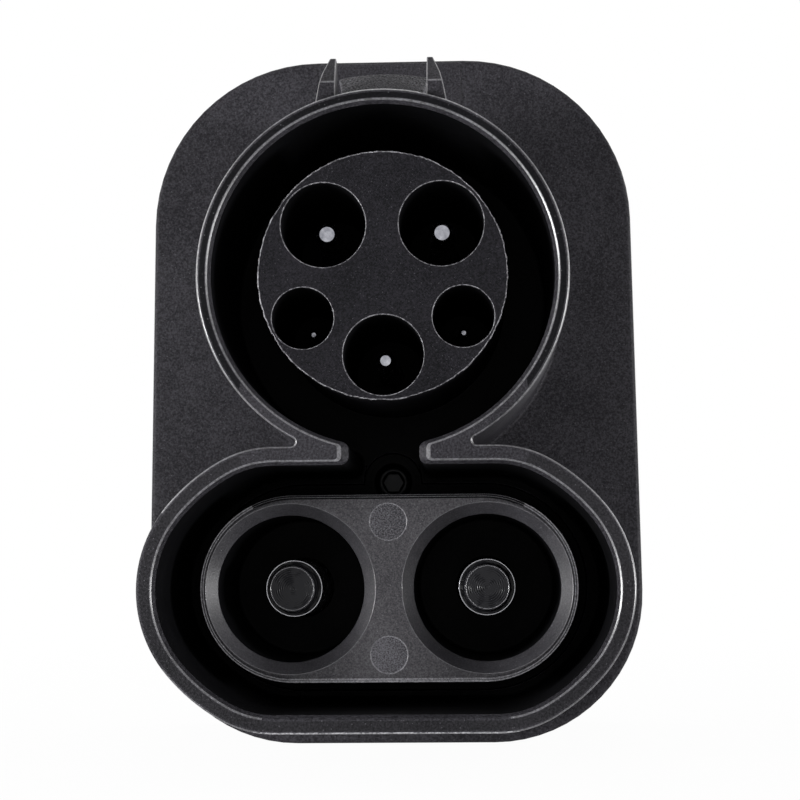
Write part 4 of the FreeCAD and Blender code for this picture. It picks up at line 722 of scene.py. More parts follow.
def front_shell(settings):
    """The block, the shroud's two lobes, their cavity and its floor, as one closed skin."""
    shell = Shell()
    rim = settings.rim_round / MM
    soft = settings.face_round / MM
    face_edge, hollow_floor = shell.skin(block(**CASING), [
        (-soft - 0.4, FACE_DEPTH), (0, FACE_DEPTH, soft), (0, PARTING_DEPTH, 0.25),
        (-SHELL_WALL, PARTING_DEPTH), (-SHELL_WALL, FACE_WALL_BACK, 0.8), (-SHELL_WALL - 2, FACE_WALL_BACK)])
    # the rim's outer rounding gets the worn finish that is painted pale as a highlight line
    root, rim_outer = shell.skin(shroud_outside, [
        (0.54, FACE_DEPTH), (0, FACE_DEPTH, 0.5), (0, 0, rim), (-rim - 0.1, 0)],
        lambda depth, steep: WORN_AND_HIGHLIT if depth < 0.4 and 0.25 < steep < 0.9 else PLAIN)
    # the left end of the lower lobe's outer edge gets the plain finish, with no painted highlight line
    for face in shell.mesh.faces:
        if face.material_index == WORN_AND_HIGHLIT and face.calc_center_median().x < NO_HIGHLIGHT_LEFT_OF * MM:
            face.material_index = PLAIN
    # inside: the rim's inner rounding gets the pale painted highlight, and deeper than 0.75 mm the walls get
    # the near-black painted shade
    rim_inner, floor_edge = shell.skin(shroud_inside, [
        (0.78, 0), (0.66, 0, 0.08), (0.42, 0.14, 0.1), (0, 0.75, 0.15), (0, FLOOR_DEPTH, 0.6),
        (-0.8, FLOOR_DEPTH)], lambda depth, steep:
        RECESS_SHADE if depth > 0.75 else WORN_AND_HIGHLIT if depth < 0.2 and 0.05 < steep < 0.6 else PLAIN)
    core_front, core_back = shell.skin(circle(0, AC_HEIGHT, 120), [
        (AC_CORE_RADIUS + SLIP + 0.12, FLOOR_DEPTH), (AC_CORE_RADIUS + SLIP, FLOOR_DEPTH, 0.1),
        (AC_CORE_RADIUS + SLIP, FACE_WALL_BACK)])
    base_front, base_back = shell.skin(base_plate(SLIP), [
        (0.12, FLOOR_DEPTH), (0, FLOOR_DEPTH, 0.1), (0, FACE_WALL_BACK)])
    shell.flat(face_edge, root)
    for face in shell.flat(rim_outer, rim_inner):
        middle = face.calc_center_median()
        if middle.z > PLAIN_RIM_ABOVE * MM:
            face.material_index = RIM
        elif middle.z < WEB_ABOVE * MM or abs(middle.x) > WEB_HALF * MM:
            face.material_index = LOW_RIM
    # the lower edges: outside along the foot, a painted floor reflection; inside above it, the plain finish
    # with no painted highlight line
    lobe_foot = DC_HEIGHT - DC_SHROUD[1]
    for face in shell.mesh.faces:
        middle = face.calc_center_median()
        if face.material_index == WORN_AND_HIGHLIT and middle.z < LOW_EDGE * MM:
            outer = middle.z < (lobe_foot + 0.3) * MM
            if outer and abs(middle.x) < FOOT_LINE * MM:
                face.material_index = FLOOR_REFLECTION
            elif not outer and abs(middle.x) < INNER_LINE * MM:
                face.material_index = PLAIN
    # the cavity's floor: near-black painted shade
    shell.flat(floor_edge, core_front, base_front, coat=RECESS_SHADE)
    shell.flat(hollow_floor, core_back, base_back)
    return shell.finish("front_housing_moulding", COATS, "moulding")


class HousingSettings(bpy.types.PropertyGroup):
    rim_round: bpy.props.FloatProperty(
        name="Rim rounding", description="Radius on the outer edge of the shroud's rim",
        default=0.35 * MM, min=0.1 * MM, max=0.5 * MM, unit="LENGTH", precision=5)
    face_round: bpy.props.FloatProperty(
        name="Face rounding", description="Radius round the front face of the block",
        default=0.6 * MM, min=0.1 * MM, max=1.5 * MM, unit="LENGTH", precision=5)


class InsulatorSettings(bpy.types.PropertyGroup):
    mouth_round: bpy.props.FloatProperty(
        name="Mouth rounding", description="Radius on the mouths of the AC wells",
        default=0.12 * MM, min=0.02 * MM, max=0.14 * MM, unit="LENGTH", precision=5)
    boss_round: bpy.props.FloatProperty(
        name="Boss rounding", description="Radius outside the grooves round the DC boss",
        default=0.08 * MM, min=0.02 * MM, max=0.085 * MM, unit="LENGTH", precision=5)


class StageSettings(bpy.types.PropertyGroup):
    floor_colour: bpy.props.FloatVectorProperty(
        name="Floor", description="Colour of the studio floor", subtype="COLOR", size=4, min=0.0, max=1.0,
        default=linear("f4f4f4"))
    key_power: bpy.props.FloatProperty(
        name="Lamps", description="Power of the left softbox, which the others follow",
        default=1.4, min=0.0, unit="POWER")


class ADAPTER_OT_front_housing(bpy.types.Operator):
    """Block front, shroud, catch and guard fins in one moulding"""

    bl_idname = "adapter.front_housing"
    bl_label = "Front housing"

    def execute(self, context):
        piece = front_shell(context.scene.adapter_housing)
        cut(piece, catch_shape(), fin_shape(-1), fin_shape(1), land_shape(), operation="UNION")
        stand_for(piece, "front_housing")
        return {"FINISHED"}


class ADAPTER_OT_ac_insulator(bpy.types.Operator):
    """Round core with five wells"""

    bl_idname = "adapter.ac_insulator"
    bl_label = "AC insulator"

    def execute(self, context):
        mouth_round = context.scene.adapter_insulator.mouth_round / MM
        shell = Shell()
        rim, flash = flash_lip(shell)
        root, back = shell.skin(circle(0, AC_HEIGHT, FLASH_STEPS), [
            (AC_CORE_RADIUS, AC_FACE_DEPTH + 0.4), (AC_CORE_RADIUS, FACE_WALL_BACK),
            (AC_FLANGE_RADIUS, FACE_WALL_BACK), (AC_FLANGE_RADIUS, RETAINER_DEPTH, 0.2),
            (AC_FLANGE_RADIUS - 1, RETAINER_DEPTH)])
        shell.wall(flash, root)
        mouths, tails = [], []
        for across, above, well, pin, _tip, _depth in AC_CONTACTS.values():
            hole, seat = pin + ROOT_STEP + SLIP, pin + COLLAR_STEP + SLIP
            # the wells' rounded mouths get the pale painted highlight, and deeper than 0.3 mm the wells get
            # the near-black painted shade
            mouth, tail = shell.skin(circle(across, AC_HEIGHT + above, 80), [
                (well + mouth_round + 0.01, AC_FACE_DEPTH), (well, AC_FACE_DEPTH, mouth_round),
                (well, AC_WELL_FLOOR, 0.5), (hole, AC_WELL_FLOOR, 0.1), (hole, PIN_COLLAR_DEPTH),
                (seat, PIN_COLLAR_DEPTH), (seat, RETAINER_DEPTH)],
                lambda depth, steep: RECESS_SHADE if depth > AC_FACE_DEPTH + 0.3 else FLASH_AND_HIGHLIGHT if steep > 0.1 else PLAIN)
            mouths.append(mouth)
            tails.append(tail)
        shell.flat(rim, *mouths)
        shell.flat(back, *tails)
        piece = shell.finish("ac_insulator_core", CORE_COATS, "insulator")
        mark_flash(piece)
        stand_for(piece, "ac_insulator")
        return {"FINISHED"}


class ADAPTER_OT_dc_insulator(bpy.types.Operator):
    """Two-well boss on its base plate"""

    bl_idname = "adapter.dc_insulator"
    bl_label = "DC insulator"

    def execute(self, context):
        boss_round = context.scene.adapter_insulator.boss_round / MM
        shell = Shell()
        # two fine sloping grooves run round the boss, left by the cutter that made its mould
        groove = DC_FACE_DEPTH + 0.09
        # the boss's rounded edge and the grooves' slopes get the pale painted highlight; deeper than 0.5 mm,
        # the near-black painted shade
        face, foot = shell.skin(stadium(BOSS_HALF_WIDTH, BOSS_RADIUS), [
            (-0.6, DC_FACE_DEPTH), (-0.56, groove), (-0.38, DC_FACE_DEPTH),
            (-0.31, DC_FACE_DEPTH), (-0.27, groove), (-0.09, DC_FACE_DEPTH),
            (0, DC_FACE_DEPTH, boss_round), (0, FLOOR_DEPTH, 0.4), (0.5, FLOOR_DEPTH)],
            lambda depth, steep:
            RECESS_SHADE if depth > DC_FACE_DEPTH + 0.5 else WORN_AND_HIGHLIT if 0.2 < steep < 0.95 else PLAIN)
        # the upper edge lies in the shroud's shadow: it gets the near-black recess finish as painted shadow,
        # without the highlight
        shaded = (DC_HEIGHT + SHADED_ABOVE) * MM
        for part in shell.mesh.faces:
            if part.material_index == WORN_AND_HIGHLIT and part.calc_center_median().z > shaded:
                part.material_index = RECESS_SHADE
        # the base plate behind the boss: near-black painted shade
        plate, back = shell.skin(base_plate(0.0), [
            (-0.14, FLOOR_DEPTH), (0, FLOOR_DEPTH, 0.12), (0, FACE_WALL_BACK), (0.6, FACE_WALL_BACK),
            (0.6, RETAINER_DEPTH, 0.2), (-0.4, RETAINER_DEPTH)], lambda depth, steep: RECESS_SHADE)
        mouths, tails = [], []
        for across in (-DC_PIN_HALF, DC_PIN_HALF):
            # each well: the pale painted highlight on its rounded mouth, then the chamfer, then the
            # near-black painted shade below it
            mouth, tail = shell.skin(circle(across, DC_HEIGHT, 112), [
                (11.76, DC_FACE_DEPTH), (11.69, DC_FACE_DEPTH, 0.08),
                (DC_WELL_RADIUS, DC_FACE_DEPTH + 1.6, 0.25), (DC_WELL_RADIUS, DC_WELL_FLOOR, 0.6),
                (4.35, DC_WELL_FLOOR, 0.1), (4.35, DC_SEAL_DEPTH), (5.83, DC_SEAL_DEPTH),
                (5.83, DC_COLLAR_DEPTH), (6.6, DC_COLLAR_DEPTH), (6.6, RETAINER_DEPTH)],
                lambda depth, steep: RECESS_SHADE if depth > DC_FACE_DEPTH + CHAMFER_END else
                WORN_AND_HIGHLIT if depth < DC_FACE_DEPTH + 0.06 and 0.1 < steep < 0.69 else CHAMFER)
            mouths.append(mouth)
            tails.append(tail)
        marks = []
        sunk = DC_FACE_DEPTH + MARK_SINK
        for above in (MARK_SPACING, -MARK_SPACING):
            # the marks' walls get the pale painted highlight
            edge, bottom = shell.skin(circle(0, DC_HEIGHT + above, 48), [
                (2.64, DC_FACE_DEPTH), (2.57, DC_FACE_DEPTH, 0.05), (2.51, sunk, 0.03), (2.4, sunk)],
                lambda depth, steep: WORN_AND_HIGHLIT if steep > 0.1 else MARK)
            marks.append(edge)
            shell.flat(bottom, coat=MARK)
        seat = FLOOR_DEPTH + LUG_SINK
        # the sink for the floor screw: near-black painted shade
        sink, sink_end = shell.skin(circle(0, LUG_HEIGHT, 48), [
            (2.87, FLOOR_DEPTH), (2.75, FLOOR_DEPTH, 0.1), (2.75, seat), (1.35, seat),
            (1.35, RETAINER_DEPTH)], lambda depth, steep: RECESS_SHADE)
        shell.flat(face, *mouths, *marks)
        # the plate's front round the boss: near-black painted shade
        shell.flat(plate, foot, sink, coat=RECESS_SHADE)
        shell.flat(back, *tails, sink_end)
        stand_for(shell.finish("dc_insulator_boss", BOSS_COATS, "insulator"), "dc_insulator")
        return {"FINISHED"}


FLASH_STEPS = 480


def flash_lip(shell):
    """The core's front edge, where a thin uneven lip of flash stands out by up to 0.16 mm."""
    shake = random.Random(11)
    reach, lip = 0.0, []
    for _step in range(FLASH_STEPS):
        reach = 0.72 * reach + 0.28 * shake.uniform(-0.12, 0.30)
        tooth = 0.12 if shake.random() < 0.02 else 0.0
        lip.append(min(max(reach + tooth, 0.0), 0.16))
    rings = []
    for inset, share, depth in ((-0.09, 0.4, 0.0), (-0.02, 0.9, -0.03), (0.0, 1.0, 0.05), (0.0, 0.2, 0.22)):
        points = []
        for step, width in enumerate(lip):
            angle = 2 * math.pi * step / FLASH_STEPS
            radius = AC_CORE_RADIUS + inset + width * share
            points.append((radius * math.cos(angle), AC_HEIGHT + radius * math.sin(angle)))
        rings.append(shell.loop(points, AC_FACE_DEPTH + depth))
    return shell.walls(rings)


def mark_flash(piece):
    """Gives the faces of the flash lip its paler finish."""
    axis = Vector((0.0, AC_HEIGHT * MM))
    for polygon in piece.data.polygons:
        centre = polygon.center
        radius = (Vector((centre.x, centre.z)) - axis).length / MM
        depth = centre.y / MM + RIM_TO_MIDDLE
        if radius > AC_CORE_RADIUS - 0.075 and depth < AC_FACE_DEPTH + 0.1:
            polygon.material_index = FLASH_AND_HIGHLIGHT


def turned_piece(name, across, height, profile, finishes, slot, steps=64, coats=None):
    """A turned piece: softened (radius, depth) profile, its two ends closed."""
    shell = Shell()
    shell.close(shell.skin(circle(across, height, steps), profile, coats))
    return shell.finish(name, finishes, slot)


class ADAPTER_OT_pins(bpy.types.Operator):
    """AC pins, DC pins and the DC pins' caps"""

    bl_idname = "adapter.pins"
    bl_label = "Pins and caps"

    def execute(self, context):
        for name, (across, above, _well, pin, tip, depth) in AC_CONTACTS.items():
            root, collar = pin + ROOT_STEP, pin + COLLAR_STEP
            stand_for(turned_piece(f"{name}_turned", across, AC_HEIGHT + above, [
                (tip * 0.7, depth), (tip, depth, tip * 0.12), (pin, depth + 1.6, 0.3), (pin, AC_WELL_FLOOR),
                (root, AC_WELL_FLOOR), (root, PIN_COLLAR_DEPTH), (collar, PIN_COLLAR_DEPTH, 0.15),
                (collar, RETAINER_DEPTH, 0.15), (root, RETAINER_DEPTH), (root, AC_TAIL, 0.2),
                (pin * 0.6, AC_TAIL)], ["silver"], "silver_plate"), name)
        root = DC_PIN_RADIUS + ROOT_STEP
        for side, word in ((-1, "left"), (1, "right")):
            across = side * DC_PIN_HALF
            # the front bore holds the cap's stem, the back one takes the busbar's screw
            stand_for(turned_piece(f"dc_pin_{word}_turned", across, DC_HEIGHT, [
                (1.2, 27.0), (1.6, 27.0), (1.6, DC_PIN_FRONT, 0.1), (DC_PIN_RADIUS, DC_PIN_FRONT, 0.1),
                (DC_PIN_RADIUS, DC_WELL_FLOOR), (root, DC_WELL_FLOOR), (root, DC_COLLAR_DEPTH),
                (6.5, DC_COLLAR_DEPTH, 0.2), (6.5, RETAINER_DEPTH, 0.2), (5.0, RETAINER_DEPTH),
                (5.0, DC_TAIL, 0.3), (1.7, DC_TAIL), (1.7, 48.0), (1.2, 48.0)],
                ["dc_silver"], "silver_plate"), f"dc_pin_{word}")
            # a fine groove runs round the cap's face, just inside its edge; its walls get the pale painted
            # highlight
            stand_for(turned_piece(f"dc_cap_{word}_turned", across, DC_HEIGHT, [
                (0.12, CAP_FACE + 0.06), (0.3, CAP_FACE, 0.05), (2.9, CAP_FACE, 0.03),
                (2.96, CAP_FACE + 0.06), (3.02, CAP_FACE, 0.03), (3.13, CAP_FACE, 0.04),
                (3.35, 18.4, 0.2), (3.35, 20.3, 0.1), (3.8, 20.35, 0.08), (3.8, DC_PIN_FRONT),
                (1.5, DC_PIN_FRONT), (1.5, 26.4, 0.2), (1.0, 26.4)],
                ["cap", "edge_wear_and_highlight"], "cap", 96,
                lambda depth, steep: WORN_AND_HIGHLIT if depth < CAP_FACE + 0.05 and 0.5 < steep < 0.9 else PLAIN),
                f"dc_cap_{word}")
        return {"FINISHED"}


def between(first, last, share):
    """The outline part of the way from one list of points to another."""
    return [(a[0] + (b[0] - a[0]) * share, a[1] + (b[1] - a[1]) * share) for a, b in zip(first, last)]


def taper(shell, first, last, stations, near_edge, far_edge):
    """Walls from one ring to another through (share, depth) stations between two outlines."""
    rings = [shell.loop(between(first, last, share), depth) for share, depth in stations]
    shell.walls([near_edge, *rings, far_edge])


def casing_screw_places():
    """Across and height of the four housing screws, one in each corner of the block."""
    lean = CASING["foot"] - CASING["crown"]
    rise = CASING["high"]
    slant = math.hypot(rise, lean)
    places = []
    for radius, at_crown in ((CASING["foot_radius"], False), (CASING["crown_radius"], True)):
        height = rise - radius if at_crown else radius
        across = CASING["foot"] - (radius * slant + lean * height) / rise
        reach = (radius - SCREW_EDGE) * math.sqrt(0.5)
        for side in (-1, 1):
            places.append((side * (across + reach), height + (reach if at_crown else -reach)))
    return places


def rear_shell(settings):
    """The back of the block, its taper and collar, and the hollow inside."""
    shell = Shell()
    casing, collar, nose = block(*CASING.values()), block(*COLLAR.values()), block(*NOSE.values())
    # the outer and the inner skin start and end on the same loop at the parting line, and merge there
    _, shoulder = shell.skin(casing, [
        (-SHELL_WALL, PARTING_DEPTH), (0, PARTING_DEPTH, 0.25), (0, REAR_DEPTH, settings.rear_round / MM),
        (0.9 - SHOULDER, REAR_DEPTH)])
    collar_foot, end = shell.skin(collar, [
        (0, COLLAR_START + 0.3), (0, COLLAR_END, settings.collar_round / MM), (-2.0, COLLAR_END)])
    run = COLLAR_START - REAR_DEPTH
    root, tip = casing(-SHOULDER), collar(0)
    taper(shell, root, tip, [
        (-0.02, REAR_DEPTH + 0.12), (0.02, REAR_DEPTH + 0.5), (0.06, REAR_DEPTH + 0.06 * run),
        (0.5, REAR_DEPTH + 0.5 * run), (0.975, REAR_DEPTH + 0.97 * run)], shoulder, collar_foot)
    mouth, seat = shell.skin(nose, [
        (0.55, COLLAR_END), (0.1, COLLAR_END, 0.3), (0.1, COLLAR_START)])
    flange_seat, flange_edge = shell.skin(collar, [(-SHELL_WALL, COLLAR_START), (-SHELL_WALL, NOSE_FLANGE)])
    inside_edge, _ = shell.skin(casing, [
        (-SHOULDER - SHELL_WALL, REAR_DEPTH - SHELL_WALL), (-SHELL_WALL, REAR_DEPTH - SHELL_WALL, 0.8),
        (-SHELL_WALL, PARTING_DEPTH)])
    shell.wall(flange_edge, inside_edge)
    shell.flat(end, mouth)
    shell.flat(flange_seat, seat)
    return shell.finish("rear_housing_moulding", COATS, "moulding")


def plug_nose_shell(settings):
    """The plug's insulator: a long rounded nose with five mouths, on its flange."""
    shell = Shell()
    collar, nose = block(*COLLAR.values()), block(*NOSE.values(), steps=20)
    edge = settings.nose_round / MM
    back, front = shell.skin(collar, [
        (-5.0, NOSE_FLANGE), (-3.5, NOSE_FLANGE, 0.2), (-3.5, COLLAR_START, 0.2), (-4.5, COLLAR_START)])
    root, tip = shell.skin(nose, [
        (0.4, COLLAR_START), (0, COLLAR_START, 0.3), (0, NOSE_TIP, edge), (-edge - 0.4, NOSE_TIP)])
    mouths, tails = [], []
    for across, height, lip, hole in PLUG_CONTACTS:
        soft = min(0.35, lip * 0.2)
        # deeper than 0.5 mm the mouths get the near-black painted shade
        mouth, tail = shell.skin(circle(across, height, 72), [
            (lip + soft + 0.02, NOSE_TIP), (lip, NOSE_TIP, soft), (lip, NOSE_TIP - NOSE_LIP, 0.1),
            (hole, NOSE_TIP - NOSE_LIP), (hole, NOSE_FLANGE)],
            lambda depth, steep: RECESS_SHADE if depth < NOSE_TIP - 0.5 else PLAIN)
        mouths.append(mouth)
        tails.append(tail)
    shell.flat(front, root)
    shell.flat(tip, *mouths)
    shell.flat(back, *tails)
    return shell.finish("plug_nose_moulding", COATS, "insulator")


class RearSettings(bpy.types.PropertyGroup):
    rear_round: bpy.props.FloatProperty(
        name="Rear rounding", description="Radius round the back of the block",
        default=2.0 * MM, min=0.3 * MM, max=3.0 * MM, unit="LENGTH", precision=5)
    collar_round: bpy.props.FloatProperty(
        name="Collar rounding", description="Radius round the collar's end",
        default=0.8 * MM, min=0.1 * MM, max=1.5 * MM, unit="LENGTH", precision=5)
    nose_round: bpy.props.FloatProperty(
        name="Nose rounding", description="Radius round the plug nose's end",
        default=1.4 * MM, min=0.3 * MM, max=2.0 * MM, unit="LENGTH", precision=5)


def cut(piece, *cutters, operation="DIFFERENCE"):
    """Takes closed meshes out of a piece, or joins them to it, and removes them."""
    for cutter in cutters:
        bpy.context.scene.collection.objects.link(cutter)
        settle(piece, ("BOOLEAN", {"object": cutter, "operation": operation, "solver": "EXACT",
                                   "material_mode": "TRANSFER"}))
        bpy.data.objects.remove(cutter)


def turned_cutter(across, height, profile, finish):
    """A closed turned mesh for cut()."""
    shell = Shell()
    shell.close(shell.skin(circle(across, height, 48), profile))
    cutter = shell.loose("cutter", finish)
    smooth(cutter)
    return cutter


class ADAPTER_OT_rear_housing(bpy.types.Operator):
    """Back of the casing with its taper, collar and sunk screw holes"""

    bl_idname = "adapter.rear_housing"
    bl_label = "Rear housing"

    def execute(self, context):
        piece = rear_shell(context.scene.adapter_rear)
        hole = SCREW_SHANK + SLIP
        above = PARTING_DEPTH - 1
        for across, height in casing_screw_places():
            # a post for the screw, with its hole and the sink for its head
            post = turned_cutter(across, height, [
                (2.0, PARTING_DEPTH), (4.2, PARTING_DEPTH), (4.2, REAR_DEPTH - 1.6), (2.0, REAR_DEPTH - 1.6)],
                "housing")
            cut(piece, post, operation="UNION")
            # the screw's hole and sink: near-black painted shade
            cut(piece, turned_cutter(across, height, [
                (0.7, above), (hole, above), (hole, SCREW_SEAT), (SCREW_SINK, SCREW_SEAT),
                (SCREW_SINK, REAR_DEPTH - 0.3), (3.5, REAR_DEPTH + 0.1), (3.5, REAR_DEPTH + 1),
                (0.7, REAR_DEPTH + 1)], "recess_shade"))
        stand_for(piece, "rear_housing")
        return {"FINISHED"}


class ADAPTER_OT_plug_nose(bpy.types.Operator):
    """Insulator of the car plug with its lock notch"""

    bl_idname = "adapter.plug_nose"
    bl_label = "Plug nose"

    def execute(self, context):
        piece = plug_nose_shell(context.scene.adapter_rear)
        notch = [(-3.5, 73.5), (3.5, 73.5), (3.5, 77.5), (-3.5, 77.5)]
        cut(piece, block_piece(notch, 133.0, 140.0, 0.3, "lock_notch", "housing"))
        stand_for(piece, "plug_nose")
        return {"FINISHED"}


# pieces grown by Geometry Nodes


def by_index(tree, values):
    """The value for each point of a line, by its place along the line."""
    switch = tree.nodes.new("GeometryNodeIndexSwitch")
    switch.data_type = "FLOAT"
    while len(switch.index_switch_items) < len(values):
        switch.index_switch_items.new()
    tree.links.new(add(tree, "GeometryNodeInputIndex").outputs[0], switch.inputs[0])
    for index, value in enumerate(values):
        if isinstance(value, bpy.types.NodeSocket):
            tree.links.new(value, switch.inputs[index + 1])
        else:
            switch.inputs[index + 1].default_value = value
    return switch.outputs[0]


def grown(name, seats, sizes, build, material):
    """A plain mesh from a Geometry Nodes tree: build() gives the shape put on each seat."""
    tree = bpy.data.node_groups.new(name, "GeometryNodeTree")
    tree.interface.new_socket("Seats", in_out="INPUT", socket_type="NodeSocketGeometry")
    given = {}
    for label, value in sizes.items():
        kind = "NodeSocketInt" if isinstance(value, int) else "NodeSocketFloat"
        given[label] = tree.interface.new_socket(label, in_out="INPUT", socket_type=kind).identifier
    finish = tree.interface.new_socket("Finish", in_out="INPUT", socket_type="NodeSocketMaterial").identifier
    tree.interface.new_socket("Piece", in_out="OUTPUT", socket_type="NodeSocketGeometry")
    start = add(tree, "NodeGroupInput")
    shape = build(tree, start.outputs)
    placed = add(tree, "GeometryNodeInstanceOnPoints", inputs={
        "Points": start.outputs["Seats"], "Instance": shape})
    whole = add(tree, "GeometryNodeRealizeInstances", inputs={"Geometry": placed.outputs[0]})
    done = add(tree, "GeometryNodeSetMaterial", inputs={
        "Geometry": whole.outputs[0], "Material": start.outputs["Finish"]})
    add(tree, "NodeGroupOutput", inputs={"Piece": done.outputs[0]})
    data = bpy.data.meshes.new(name)
    data.from_pydata([(x * MM, (depth - RIM_TO_MIDDLE) * MM, z * MM) for x, depth, z in seats], [], [])
    piece = bpy.data.objects.new(name, data)
    bpy.context.scene.collection.objects.link(piece)
    modifier = piece.modifiers.new("Grow", "NODES")
    modifier.node_group = tree
    for label, value in sizes.items():
        modifier[given[label]] = value
    modifier[finish] = material
    settle(piece)
    smooth(piece)
    return piece


def screw_tree(tree, given):
    """A screw turned about its axis: shank, round head behind the seat, hexagon recess."""
    shank, length, head, height = (given[name] for name in ("Shank", "Length", "Head", "Head height"))
    times, times_add = {"operation": "MULTIPLY"}, {"operation": "MULTIPLY_ADD"}
    back = add(tree, "ShaderNodeMath", times, {0: length, 1: -1.0}).outputs[0]
    shoulder = add(tree, "ShaderNodeMath", times_add, {0: shank, 1: 0.5, 2: back}).outputs[0]
    # shares of the given sizes: the head's rounding begins and ends, the shank's point, the head's top
    lower_rim, upper_rim, point, crown, top = (
        add(tree, "ShaderNodeMath", times, {0: size, 1: share}).outputs[0]
        for size, share in ((height, 0.6), (height, 0.9), (shank, 0.7), (head, 0.93), (head, 0.8)))
    depths = [back, shoulder, -0.00001, 0.0, lower_rim, upper_rim, height]
    radii = [point, shank, shank, head, head, crown, top]
    line = add(tree, "GeometryNodeMeshLine", {"mode": "OFFSET"}, {
        "Count": len(depths), "Offset": (0.0, 0.0, 0.0)})
    along = add(tree, "ShaderNodeCombineXYZ", inputs={"Y": by_index(tree, depths)})
    axis = add(tree, "GeometryNodeSetPosition", inputs={
        "Geometry": line.outputs[0], "Position": along.outputs[0]})
    curve = add(tree, "GeometryNodeMeshToCurve", inputs={0: axis.outputs[0]})
    ring = add(tree, "GeometryNodeCurvePrimitiveCircle", inputs={"Resolution": 40, "Radius": 1.0})
    turned = add(tree, "GeometryNodeCurveToMesh", inputs={
        "Curve": curve.outputs[0], "Profile Curve": ring.outputs[0], "Scale": by_index(tree, radii),
        "Fill Caps": True})
    # the prism reaches as far above the head's top as the recess goes below it
    tall = add(tree, "ShaderNodeMath", times, {0: given["Recess depth"], 1: 2.0})
    prism = add(tree, "GeometryNodeMeshCylinder", inputs={
        "Vertices": 6, "Radius": given["Recess"], "Depth": tall.outputs[0]})
    at_top = add(tree, "ShaderNodeCombineXYZ", inputs={"Y": height})
    recess = add(tree, "GeometryNodeTransform", inputs={
        "Geometry": prism.outputs[0], "Translation": at_top.outputs[0], "Rotation": (math.pi / 2, 0.0, 0.0)})
    cut_out = add(tree, "GeometryNodeMeshBoolean", {"operation": "DIFFERENCE", "solver": "EXACT"}, {
        0: turned.outputs[0], 1: recess.outputs[0]})
    return cut_out.outputs[0]


def bowed_leaf(tree, given):
    """One leaf of a contact band: a strip that dips in the middle, as thick as its sheet."""
    times = {"operation": "MULTIPLY"}
    strip = add(tree, "GeometryNodeMeshGrid", inputs={
        "Size X": given["Leaf width"], "Size Y": given["Length"], "Vertices X": 3, "Vertices Y": 13})
    place = add(tree, "ShaderNodeSeparateXYZ", inputs={0: add(tree, "GeometryNodeInputPosition").outputs[0]})
    half = add(tree, "ShaderNodeMath", times, {0: given["Length"], 1: 0.5})
    share = add(tree, "ShaderNodeMath", {"operation": "DIVIDE"}, {0: place.outputs["Y"], 1: half.outputs[0]})
    square = add(tree, "ShaderNodeMath", times, {0: share.outputs[0], 1: share.outputs[0]})
    fall = add(tree, "ShaderNodeMath", {"operation": "SUBTRACT"}, {0: square.outputs[0], 1: 1.0})
    drop = add(tree, "ShaderNodeMath", times, {0: fall.outputs[0], 1: given["Bow"]})
    lower = add(tree, "ShaderNodeCombineXYZ", inputs={"Z": drop.outputs[0]})
    bowed = add(tree, "GeometryNodeSetPosition", inputs={
        "Geometry": strip.outputs[0], "Offset": lower.outputs[0]})
    raised = add(tree, "GeometryNodeExtrudeMesh", inputs={
        "Mesh": bowed.outputs[0], "Offset Scale": given["Thickness"], "Individual": False})
    under = add(tree, "GeometryNodeFlipFaces", inputs={0: bowed.outputs[0]})
    both = add(tree, "GeometryNodeJoinGeometry", inputs={0: raised.outputs[0]})
    tree.links.new(under.outputs[0], both.inputs[0])
    closed = add(tree, "GeometryNodeMergeByDistance", inputs={"Geometry": both.outputs[0], "Distance": 1e-7})
    out = add(tree, "ShaderNodeCombineXYZ", inputs={"Z": given["Radius"]})
    return add(tree, "GeometryNodeTransform", inputs={
        "Geometry": closed.outputs[0], "Translation": out.outputs[0]}).outputs[0]


def leaf_tree(tree, given):
    """A sprung contact band: bowed leaves round the bore between two hoops."""
    leaf = bowed_leaf(tree, given)
    spokes = add(tree, "GeometryNodeMeshLine", {"mode": "OFFSET"}, {
        "Count": given["Leaves"], "Offset": (0.0, 0.0, 0.0)})
    step = add(tree, "ShaderNodeMath", {"operation": "DIVIDE"}, {0: 2 * math.pi, 1: given["Leaves"]})
    angle = add(tree, "ShaderNodeMath", {"operation": "MULTIPLY"}, {
        0: add(tree, "GeometryNodeInputIndex").outputs[0], 1: step.outputs[0]})
    turn = add(tree, "ShaderNodeCombineXYZ", inputs={"Y": angle.outputs[0]})
    ring = add(tree, "GeometryNodeInstanceOnPoints", inputs={
        "Points": spokes.outputs[0], "Instance": leaf, "Rotation": turn.outputs[0]})
    band = add(tree, "GeometryNodeJoinGeometry", inputs={0: ring.outputs[0]})
    hoop_radius = add(tree, "ShaderNodeMath", {"operation": "MULTIPLY_ADD"}, {
        0: given["Thickness"], 1: 0.5, 2: given["Radius"]})
    hoop_curve = add(tree, "GeometryNodeCurvePrimitiveCircle", inputs={
        "Resolution": 64, "Radius": hoop_radius.outputs[0]})
    section = add(tree, "GeometryNodeCurvePrimitiveQuadrilateral", inputs={
        "Width": given["Thickness"], "Height": given["Hoop width"]})
    hoop = add(tree, "GeometryNodeCurveToMesh", inputs={
        "Curve": hoop_curve.outputs[0], "Profile Curve": section.outputs[0]})
    for share in (-0.5, 0.5):
        end = add(tree, "ShaderNodeMath", {"operation": "MULTIPLY"}, {0: given["Length"], 1: share})
        at_end = add(tree, "ShaderNodeCombineXYZ", inputs={"Y": end.outputs[0]})
        moved = add(tree, "GeometryNodeTransform", inputs={
            "Geometry": hoop.outputs[0], "Translation": at_end.outputs[0],
            "Rotation": (math.pi / 2, 0.0, 0.0)})
        tree.links.new(moved.outputs[0], band.inputs[0])
    return band.outputs[0]


